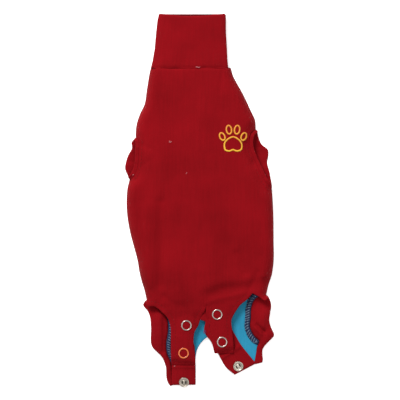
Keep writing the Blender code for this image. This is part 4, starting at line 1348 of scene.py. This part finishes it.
def front_leg_band(name, edge, mouth, finish):
    """A hem round a front leg hole: a flat ring whose lower lip reaches out past its upper one."""
    edge = shifted(marked(edge), -SEAM_GAP)
    edge = edge if edge[0][1] > edge[-1][1] else edge[::-1]
    lip = marked(mouth, 0.001)
    gone = run_of(edge) / run_of(edge)[-1]
    far = np.linspace(0.0, 1.0, len(lip))
    last = len(HEM_SECTION) - 1
    loops = [[] for _ in range(2 * last + 1)]
    flats = [[] for _ in loops]
    angles = [2 * math.pi * turn / HEM_SIDES for turn in range(HEM_SIDES)]
    turns = [(math.cos(angle), math.sin(angle)) for angle in angles]
    seams = np.array([on_line(0.5 - HEM_SPAN / 2 * c, gone, edge) for c, s in turns])
    tops = back_height(seams) - HEM_WALL / 2
    run = 0.0
    for turn, ((c, s), seam, top) in enumerate(zip(turns, seams, tops)):
        reach = on_line(0.5 - HEM_SPAN / 2 * c, far, lip)
        upper = 0.5 + 0.5 * math.copysign(abs(s) ** 0.6, s)
        middle = HEM_WALL / 2 + (top - HEM_WALL / 2) * upper
        lower_part = (reach - seam) * (1.0 - upper)
        upper_part = (reach - seam) / np.linalg.norm(reach - seam) * HEM_REACH * upper
        up = np.array([0.0, c * abs(c), s]) / math.hypot(c * c, s)
        ripple = 0.00013 * math.sin(turn * 1.1) + 0.0001 * math.sin(turn * 0.63 + 1.0)
        for k, (part, thick) in enumerate(HEM_SECTION):
            spot = np.array([*(seam + (lower_part + upper_part) * part), middle])
            spot = spot + up * ripple * min(1.0, 2.0 * part)
            loops[k].append(spot + up * HEM_WALL / 2 * thick)
            flats[k].append((UV_START + run, UV_START + HEM_CUT * part))
            if k < last:
                loops[-1 - k].append(spot - up * HEM_WALL / 2 * thick)
                flats[-1 - k].append(flats[k][-1])
        run += HEM_TURN
    corners, faces = looped([np.array(loop) for loop in loops])
    corners[:, 2] = np.maximum(corners[:, 2], 0.0)
    made = as_object(
        name + "_cloth", corners, faces, np.vstack(flats), finish["red"], [name], wrap=run
    )


# Collar: where its round lip starts, as a share of its length, and the lip's fineness
COLLAR_LIP = 0.955
LIP_TURNS = 8


def collar_row(along):
    """The collar's left, right and height at a share of its length."""
    stops = [row.along for row in COLLAR_ROWS]
    return [np.interp(along, stops, [row[i] for row in COLLAR_ROWS]) for i in (1, 2, 3)]


def seam_wander(x):
    """How far the collar's seam strays along the shirt at a place across it."""
    return 0.00035 * math.sin(x / 0.0058 + 0.4) + 0.00015 * math.sin(x / 0.0021)


def collar_loop(along, inset, y_shift):
    """One loop round the collar, its face moved inwards by an inset."""
    left, right, height = collar_row(along)
    left, right = left * COLLAR_WIDTH, right * COLLAR_WIDTH
    centre, half = (left + right) / 2, (right - left) / 2 - inset
    tall = height * COLLAR_HEIGHT
    seam = bell(along * COLLAR_LENGTH / SEAM_DIP_WIDTH)
    loop = []
    for turn in range(COLLAR_SIDES):
        angle = 2 * math.pi * turn / COLLAR_SIDES
        c, s = math.cos(angle), math.sin(angle)
        x = math.copysign(abs(c) ** (2 / COLLAR_SQUARENESS), c)
        z = math.copysign(abs(s) ** (2 / COLLAR_SQUARENESS), s)
        over = max(s, 0.0)
        dip = MOUTH_DIP * over * (1.0 - x * x) * along**6
        px = centre + half * x
        y = NECK_SEAM + SEAM_GAP + along * (COLLAR_LENGTH - SEAM_GAP) + y_shift - dip
        y += seam_wander(px) * bell(along / 0.06)
        soft = 0.00018 * math.sin(px / 0.0052 + along * 2.0) + 0.00014 * math.sin(along * 9.0 + px / 0.011)
        soft += 0.00016 * math.sin(px / 0.0021 + 0.5) * bell((along - 0.06) / 0.09)
        lift = (soft - SEAM_DIP * 0.8 * seam) * over**0.5
        loop.append((px, y, tall / 2 + (tall / 2 - inset) * z + lift))
    return np.array(loop)


def collar(finish):
    stops = np.linspace(0.0, 1.0, COLLAR_STEPS) ** 1.15 * COLLAR_LIP
    lip, spare = stops[-1], (1.0 - stops[-1]) * (COLLAR_LENGTH - SEAM_GAP)
    outer = [collar_loop(along, 0.0, 0.0) for along in stops]
    rim = []
    for turn in range(1, LIP_TURNS):
        angle = math.pi * turn / LIP_TURNS
        inset = COLLAR_WALL / 2 * (1.0 - math.cos(angle))
        rim.append(collar_loop(lip, inset, spare * math.sin(angle)))
    inner = [collar_loop(along, COLLAR_WALL, 0.0) for along in stops[::-1]]
    loops = outer + rim + inner
    around = run_of(np.vstack([outer[0], outer[0][:1]]))
    whole = round(around[-1] / WALE) * WALE
    flats, run, last = [], 0.0, loops[0]
    for loop in loops:
        run += float(np.linalg.norm(loop - last, axis=1).mean())
        last = loop
        turned = UV_START + around[:-1] * whole / around[-1]
        flats.append(np.column_stack([turned, np.full(COLLAR_SIDES, UV_START + run)]))
    corners, faces = looped(loops)
    made = as_object(
        "collar_cloth", corners, faces, np.vstack(flats), finish["red"], ["collar"], wrap=whole
    )


# Snap fasteners

def only(piece):
    bpy.ops.object.select_all(action="DESELECT")
    piece.select_set(True)
    bpy.context.view_layer.objects.active = piece


def select_faces(piece, chosen):
    """In edit mode with faces, selects those whose middle and normal pass a test."""
    bpy.ops.object.mode_set(mode="EDIT")
    bpy.ops.mesh.select_mode(type="FACE")
    bpy.ops.mesh.select_all(action="DESELECT")
    bpy.ops.object.mode_set(mode="OBJECT")
    for face in piece.data.polygons:
        face.select = chosen(face.center, face.normal)
    bpy.ops.object.mode_set(mode="EDIT")


def bevelled(piece, width, segments, limit=35.0):
    bevel = piece.modifiers.new("round", "BEVEL")
    bevel.width = width
    bevel.segments = segments
    bevel.limit_method = "ANGLE"
    bevel.angle_limit = math.radians(limit)
    only(piece)
    bpy.ops.object.modifier_apply(modifier="round")
    bpy.ops.object.shade_smooth_by_angle(angle=math.radians(50.0))


def settled(piece, name, centre, bottom, material, node_name):
    """Puts a finished hard piece in its place, with its object at the origin."""
    piece.location = (centre[0] - BOX_CENTRE[0], centre[1] - BOX_CENTRE[1], bottom)
    only(piece)
    bpy.ops.object.transform_apply(location=True, rotation=True, scale=True)
    piece.name = name
    piece.data.name = name
    piece.data.materials.clear()
    piece.data.materials.append(material)
    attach(piece, "root")
    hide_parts(node_name)
    return piece


def disc(radius, tall):
    bpy.ops.object.select_all(action="DESELECT")
    bpy.ops.mesh.primitive_cylinder_add(
        vertices=ROUND_SIDES, radius=radius, depth=tall, location=(0.0, 0.0, tall / 2)
    )
    piece = bpy.context.object
    bpy.ops.object.transform_apply(location=True, rotation=False, scale=False)
    return piece


def snap_ring(name, centre, material):
    """An open prong ring: a round wire form pressed flat against the strap."""
    piece = disc(RING_DIAMETER / 2, RING_HEIGHT)
    select_faces(piece, lambda middle, normal: abs(normal.z) > 0.9)
    bpy.ops.mesh.inset(thickness=RING_RIM, use_individual=True)
    bpy.ops.mesh.delete(type="FACE")
    bpy.ops.mesh.select_mode(type="EDGE")
    bpy.ops.mesh.select_all(action="DESELECT")
    bpy.ops.object.mode_set(mode="OBJECT")
    inner = RING_DIAMETER / 2 - RING_RIM * 0.5
    for edge in piece.data.edges:
        ends = [piece.data.vertices[i].co for i in edge.vertices]
        level = abs(ends[0].z - ends[1].z) < 1e-6
        edge.select = level and all(math.hypot(end.x, end.y) < inner for end in ends)
    bpy.ops.object.mode_set(mode="EDIT")
    bpy.ops.mesh.bridge_edge_loops()
    bpy.ops.mesh.select_all(action="SELECT")
    bpy.ops.mesh.normals_make_consistent(inside=False)
    bpy.ops.object.mode_set(mode="OBJECT")
    bevelled(piece, RING_RIM * 0.34, 4)
    settled(piece, name + "_metal", centre, STRAP_TOP - SNAP_SINK, material, name)


# A socket's face from its rim inwards: how far in each step is, and how far it then rises
SOCKET_FACE = ((0.00085, 0.00005), (0.00030, -0.00045), (0.00165, -0.00015), (0.00022, 0.00028))
SLOT_AWAY = 0.00180
SPRING_AWAY = 0.00175
SPRING_HALF = 0.0012
SPRING_DEPTH = 0.00120


def snap_socket(name, centre, lean, finish):
    """A socket: a rolled rim, a dished face and two slots through which its springs show. Its faces deep in
    the bore and slots take the near-black spring finish as painted shade.
    """
    piece = disc(SOCKET_DIAMETER / 2, SOCKET_HEIGHT)
    select_faces(piece, lambda middle, normal: normal.z > 0.9)
    for inwards, rise in SOCKET_FACE:
        bpy.ops.mesh.inset(thickness=inwards)
        bpy.ops.transform.translate(value=(0.0, 0.0, rise))
    bpy.ops.object.mode_set(mode="OBJECT")
    bevelled(piece, 0.00022, 3, 20.0)
    for side in (-1.0, 1.0):
        bpy.ops.object.select_all(action="DESELECT")
        bpy.ops.mesh.primitive_cylinder_add(
            vertices=24, radius=0.00092, depth=0.0026,
            location=(side * SLOT_AWAY, 0.0, SOCKET_HEIGHT + 0.0001)
        )
        cutter = bpy.context.object
        cutter.scale = (0.90, 1.95, 1.0)
        bpy.ops.object.transform_apply(location=True, rotation=True, scale=True)
        cut = piece.modifiers.new("slot", "BOOLEAN")
        cut.operation = "DIFFERENCE"
        cut.object = cutter
        cut.solver = "EXACT"
        only(piece)
        bpy.ops.object.modifier_apply(modifier="slot")
        bpy.data.objects.remove(cutter, do_unlink=True)
    only(piece)
    bpy.ops.object.shade_smooth_by_angle(angle=math.radians(40.0))
    piece.rotation_euler = (math.radians(SOCKET_TILT), 0.0, lean)
    made = settled(
        piece, name + "_metal", centre, SOCKET_BOTTOM - SNAP_SINK, finish["socket"], name
    )
    made.data.materials.append(finish["spring_and_recess_shade"])
    slope = math.tan(math.radians(SOCKET_TILT))
    middle = Vector((centre[0] - BOX_CENTRE[0], centre[1] - BOX_CENTRE[1]))
    # Faces deep in the bore and slots take the near-black spring finish: painted shade in the socket's
    # recesses.
    for face in made.data.polygons:
        off = face.center.xy - middle
        fall = off.dot(Vector((-math.sin(lean), math.cos(lean)))) * slope
        deep = face.center.z - fall < SOCKET_BOTTOM + SOCKET_HEIGHT - 0.0010
        face.material_index = int(deep and off.length < 0.0036 and face.normal.z > -0.5)
    wires = []
    side_way = np.array([math.cos(lean), math.sin(lean)])
    along_way = np.array([-math.sin(lean), math.cos(lean)])
    for side in (-1.0, 1.0):
        path = []
        for t in np.linspace(-1.0, 1.0, 13):
            bend = SPRING_AWAY * side + 0.00026 * math.sin(t * math.pi)
            run = t * SPRING_HALF
            spot = np.array(centre) + side_way * bend + along_way * run
            path.append((*spot, SOCKET_BOTTOM + SOCKET_HEIGHT - SPRING_DEPTH + run * slope))
        wires.append(path)
    threads(name + "_springs", wires, 0.00020, finish["spring_and_recess_shade"], sides=10)


def fasteners(finish):
    """Rings and open sockets in fine form, and nickel on the snaps that the straps hide."""
    for side, strap, tab, lower, slot in (
        ("left", LEFT_STRAP, LEFT_TAB, finish["orange"], "orange_enamel"),
        ("right", RIGHT_STRAP, RIGHT_TAB, finish["nickel"], "nickel"),
    ):
        first, second = snap_places(strap)
        snap_ring(f"snap_ring_{side}_upper", first, finish["nickel"])
        snap_ring(f"snap_ring_{side}_lower", second, lower)
        open_place = tab_place(strap, tab, StrapMark(0.0, 1.0))
        snap_socket(f"snap_socket_{side}_open", open_place, math.radians(tab.lean), finish)
        for name in (f"snap_socket_{side}_fastened", f"snap_stud_{side}_upper", f"snap_stud_{side}_lower"):
            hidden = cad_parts[name].data.materials
            hidden.clear()
            hidden.append(finish["nickel"])


# Embroidered paw print, in outline

MOTIF_X = 0.0335
MOTIF_Y = 0.0612
MOTIF_WIDTH = 0.0262
MOTIF_REACH = 0.016
STROKE = 0.0014
STITCH_PITCH = 0.00036
SATIN_SHARES = (-1.0, -0.6, 0.0, 0.6, 1.0)
SATIN_LIFT = 0.00012
SATIN_BOW = 0.00042
SILK_RADIUS = 0.00021
PAD = [
    (-0.30, -0.42), (-0.33, -0.20), (-0.17, 0.00), (0.0, 0.07), (0.17, 0.00), (0.33, -0.20), (0.30, -0.42),
    (0.14, -0.47), (0.0, -0.42), (-0.14, -0.47),
]
Toe = namedtuple("Toe", "x y half_width half_length lean")
TOES = [
    Toe(-0.41, 0.08, 0.095, 0.150, 24),
    Toe(-0.155, 0.34, 0.100, 0.165, 8),
    Toe(0.155, 0.34, 0.100, 0.165, -8),
    Toe(0.41, 0.08, 0.095, 0.150, -24),
]


def motif_lines():
    """The paw's closed strokes on the cloth: its pad and its toes."""
    lines = [curve_through(PAD + PAD[:2], 0.02)]
    for toe in TOES:
        lean = math.radians(toe.lean)
        turn = np.linspace(0.0, 2 * math.pi, 40)
        x, y = toe.half_width * np.cos(turn), toe.half_length * np.sin(turn)
        lines.append(np.column_stack([
            toe.x + x * math.cos(lean) - y * math.sin(lean),
            toe.y + x * math.sin(lean) + y * math.cos(lean),
        ]))
    centre = np.array([MOTIF_X, MOTIF_Y])
    return [evenly(line * MOTIF_WIDTH + centre, STITCH_PITCH) for line in lines]


def embroidery(finish):
    """Satin stitches laid side by side across each stroke, bowed up over it."""
    random = np.random.default_rng(7)
    paths, spots = [], []
    shares = np.array(SATIN_SHARES)
    for line in motif_lines():
        normal = to_left(line)
        for spot, side in zip(line, normal):
            half = STROKE / 2 * random.uniform(0.93, 1.07)
            spots.append(spot + side * half * shares[:, None])
    heights = back_height(np.vstack(spots)).reshape(-1, len(shares))
    bow = SATIN_LIFT + SATIN_BOW * (1.0 - shares**2)
    for across, height in zip(spots, heights):
        paths.append(np.column_stack([across, height + bow]))
    threads("embroidered_paw", paths, SILK_RADIUS, finish["silk"])


# Stitches of the hems

HEM_STITCH = 0.0024
HEM_STITCH_GAP = 0.0009
HEM_STITCH_RISE = 0.00022
HEM_THREAD_RADIUS = 0.00019
ARM_STITCH_INSET = 0.0022


def stitches(name, line, height, thread_finish):
    """A row of straight stitches along a line on the cloth, each sunk at its two ends."""
    gone = run_of(line)
    paths = []
    for start in np.arange(0.002, gone[-1] - 0.004, HEM_STITCH + HEM_STITCH_GAP):
        stops = start + np.linspace(0.0, HEM_STITCH, 5)
        spots = on_line(stops, gone, line)
        rise = HEM_STITCH_RISE * np.array([-1.0, 0.7, 1.0, 0.7, -1.0])
        paths.append(np.column_stack([spots, height(spots) + rise]))
    threads(name, paths, HEM_THREAD_RADIUS, thread_finish)


def hem_stitches(finish):
    for i, edge in enumerate(strap_edges()):
        stitches(f"strap_hem_stitches_{i}", shifted(edge, HEM_FOLD), back_height, finish["red_thread"])
    for side, edge in (("left", LEFT_ARM_EDGE), ("right", RIGHT_ARM_EDGE)):
        line = shifted(marked(edge), ARM_STITCH_INSET)
        stitches(f"arm_hem_stitches_{side}", line, back_height, finish["red_thread"])


# Loose threads, lint and other small marks: half the collar seam's width, and the ends of the
# dark thread of painted shade in the collar's mouth

SEAM_HALF = 0.0388
MOUTH_LEFT = -0.0385
MOUTH_RIGHT = 0.0120
Fleck = namedtuple("Fleck", "x y length turn bend")
LINT = [
    Fleck(-0.0305, 0.0580, 0.0030, 20, 1.6),
    Fleck(-0.0295, 0.0572, 0.0022, 110, 1.2),
    Fleck(-0.0135, 0.0262, 0.0020, 65, 1.0),
    Fleck(-0.0670, 0.0250, 0.0016, 40, 1.2),
]


def curl(fleck, height):
    """A short bent thread lying on the cloth."""
    turn = math.radians(fleck.turn)
    path, spot = [], np.array([fleck.x, fleck.y])
    for i in range(9):
        heading = turn + fleck.bend * (i / 8 - 0.5)
        path.append((*spot, height + 0.00012 + 0.0001 * math.sin(i)))
        spot = spot + np.array([math.cos(heading), math.sin(heading)]) * fleck.length / 8
    return path


def lint(finish):
    spots = np.array([[fleck.x, fleck.y] for fleck in LINT])
    heights = back_height(spots)
    paths = [curl(fleck, height) for fleck, height in zip(LINT, heights)]
    threads("lint", paths, 0.00022, finish["lint"])


def seam_threads(finish):
    """Threads of the collar's seam, a dark thread of painted shade along its mouth, and loose ends at that
    seam and the right strap.
    """
    left, right = (side * COLLAR_WIDTH for side in collar_row(0.0)[:2])
    seam = []
    for x in np.linspace(left + 0.003, right - 0.003, 150):
        drop = 0.0022 * (abs(x - (left + right) / 2) / SEAM_HALF) ** 6
        seam.append((x, NECK_SEAM + SEAM_GAP / 2 + seam_wander(x) / 2, COLLAR_HEIGHT - 0.0009 - drop))
    threads("collar_seam", [seam], 0.00055, finish["red"], sides=8)
    # A dark thread along the inside of the collar's mouth: painted shade where the folded layer lies in
    # shadow.
    mouth = []
    for share in np.linspace(0.0, 1.0, 90):
        x = MOUTH_LEFT + (MOUTH_RIGHT - MOUTH_LEFT) * share
        edge = NECK_SEAM + COLLAR_LENGTH - 0.00055 - 0.0004 * math.sin(share * math.pi)
        mouth.append((x, edge, COLLAR_WALL - 0.0002))
    threads("collar_mouth_painted_shade", [mouth], 0.00050, finish["mouth_shade_thread"], sides=8)
    pale = [
        (x, NECK_SEAM + 0.0006 + 0.0003 * math.sin(x / 0.0006), COLLAR_HEIGHT + 0.0003)
        for x in np.linspace(-0.0036, 0.0004, 12)
    ]
    threads("collar_thread", [pale], 0.00028, finish["lint"])
    dot = curl(Fleck(-0.0255, -0.1662, 0.0014, 30, 2.0), TAB_TOP + 0.0013)
    threads("tab_speck", [dot], 0.00030, finish["lint"])
    start = strap_place(RIGHT_STRAP, StrapMark(-0.66, 0.52))
    loose = []
    for i in range(14):
        angle = i * 0.75
        loose.append((
            start[0] + 0.0012 * math.cos(angle),
            start[1] + 0.0014 * math.sin(angle) - 0.0001 * i,
            STRAP_TOP - 0.0004 + 0.00012 * i,
        ))
    threads("strap_thread", [loose], 0.00022, finish["purple"])


# Stage

CAMERA_HEIGHT = 2.4
FOCUS_HEIGHT = 0.008
FRAME_WIDTH = 0.400
FRAME_SHIFT = 0.0005
SENSOR = 36.0
FLOOR_REACH = 4.0


def stage():
    """A pale floor that glows faintly, so that it shows white with no hard shadow."""
    floor = bpy.data.meshes.new("floor")
    corners = [(x * FLOOR_REACH, y * FLOOR_REACH, 0.0) for x, y in ((-1, -1), (1, -1), (1, 1), (-1, 1))]
    floor.from_pydata(corners, [], [(0, 1, 2, 3)])
    made = bpy.data.objects.new("floor", floor)
    bpy.context.scene.collection.objects.link(made)
    paper, _, shader = material("floor_paper", 0.9)
    set_inputs(shader, {"Base Color": (0.93, 0.93, 0.93, 1.0), "Specular IOR Level": 0.1})
    set_inputs(shader, {"Emission Color": (1.0, 1.0, 1.0, 1.0), "Emission Strength": 0.40})
    floor.materials.append(paper)


def area_light(name, place, target, size, power, colour):
    light = bpy.data.lights.new(name, "AREA")
    light.shape = "DISK"
    light.size = size
    light.energy = power
    light.color = colour
    made = bpy.data.objects.new(name, light)
    made.location = place
    made.rotation_euler = (Vector(target) - Vector(place)).to_track_quat("-Z", "Y").to_euler()
    bpy.context.scene.collection.objects.link(made)


def lights():
    area_light("key", (-0.85, 1.6, 1.35), (0.0, 0.0, 0.0), 0.9, 74.0, (1.0, 0.98, 0.97))
    area_light("fill", (0.9, -0.5, 1.9), (0.0, 0.0, 0.0), 1.4, 12.0, (0.98, 0.99, 1.0))
    world = bpy.data.worlds.new("studio")
    world.use_nodes = True
    sky = world.node_tree.nodes["Background"]
    set_inputs(sky, {"Color": (1.0, 1.0, 1.0, 1.0), "Strength": 0.62})
    bpy.context.scene.world = world


def camera():
    lens = bpy.data.cameras.new("camera")
    lens.sensor_width = SENSOR
    lens.lens = SENSOR * (CAMERA_HEIGHT - FOCUS_HEIGHT) / FRAME_WIDTH
    lens.clip_end = 20.0
    made = bpy.data.objects.new("camera", lens)
    made.location = (FRAME_SHIFT - BOX_CENTRE[0], -BOX_CENTRE[1], CAMERA_HEIGHT)
    bpy.context.scene.collection.objects.link(made)
    bpy.context.scene.camera = made
    bpy.context.scene.view_settings.view_transform = "Standard"


def main():
    finish = finishes()
    collar(finish)
    back_panel(finish)
    belly_panel(finish)
    belly_lining(finish)
    facings(finish)
    left, right = left_tab_rows(), right_tab_rows()
    middle = FOLD_STEPS // 2
    hind_leg_band(
        "left_hind_cloth", LEFT_LEG_EDGE, LEFT_BAND_EDGE, -1, left[0][0, :2], left[middle][0, :2],
        LEFT_BAND_FOLDS, "hind_leg_band_left", finish
    )
    hind_leg_band(
        "right_hind_cloth", RIGHT_LEG_EDGE, RIGHT_BAND_EDGE, 1, right[0][-1, :2], right[middle][-1, :2],
        RIGHT_BAND_FOLDS, "hind_leg_band_right", finish
    )
    overlock("left", LEFT_LEG_EDGE, left[0][0, :2], 1, 1.100, 1.75, finish)
    overlock("right", RIGHT_LEG_EDGE, right[0][-1, :2], -1, 0.985, 1.53, finish)
    front_leg_band("front_leg_band_left", LEFT_ARM_EDGE, LEFT_ARM_MOUTH, finish)
    front_leg_band("front_leg_band_right", RIGHT_ARM_EDGE, RIGHT_ARM_MOUTH, finish)
    fasteners(finish)
    embroidery(finish)
    hem_stitches(finish)
    lint(finish)
    seam_threads(finish)
    stage()
    lights()
    camera()


main()
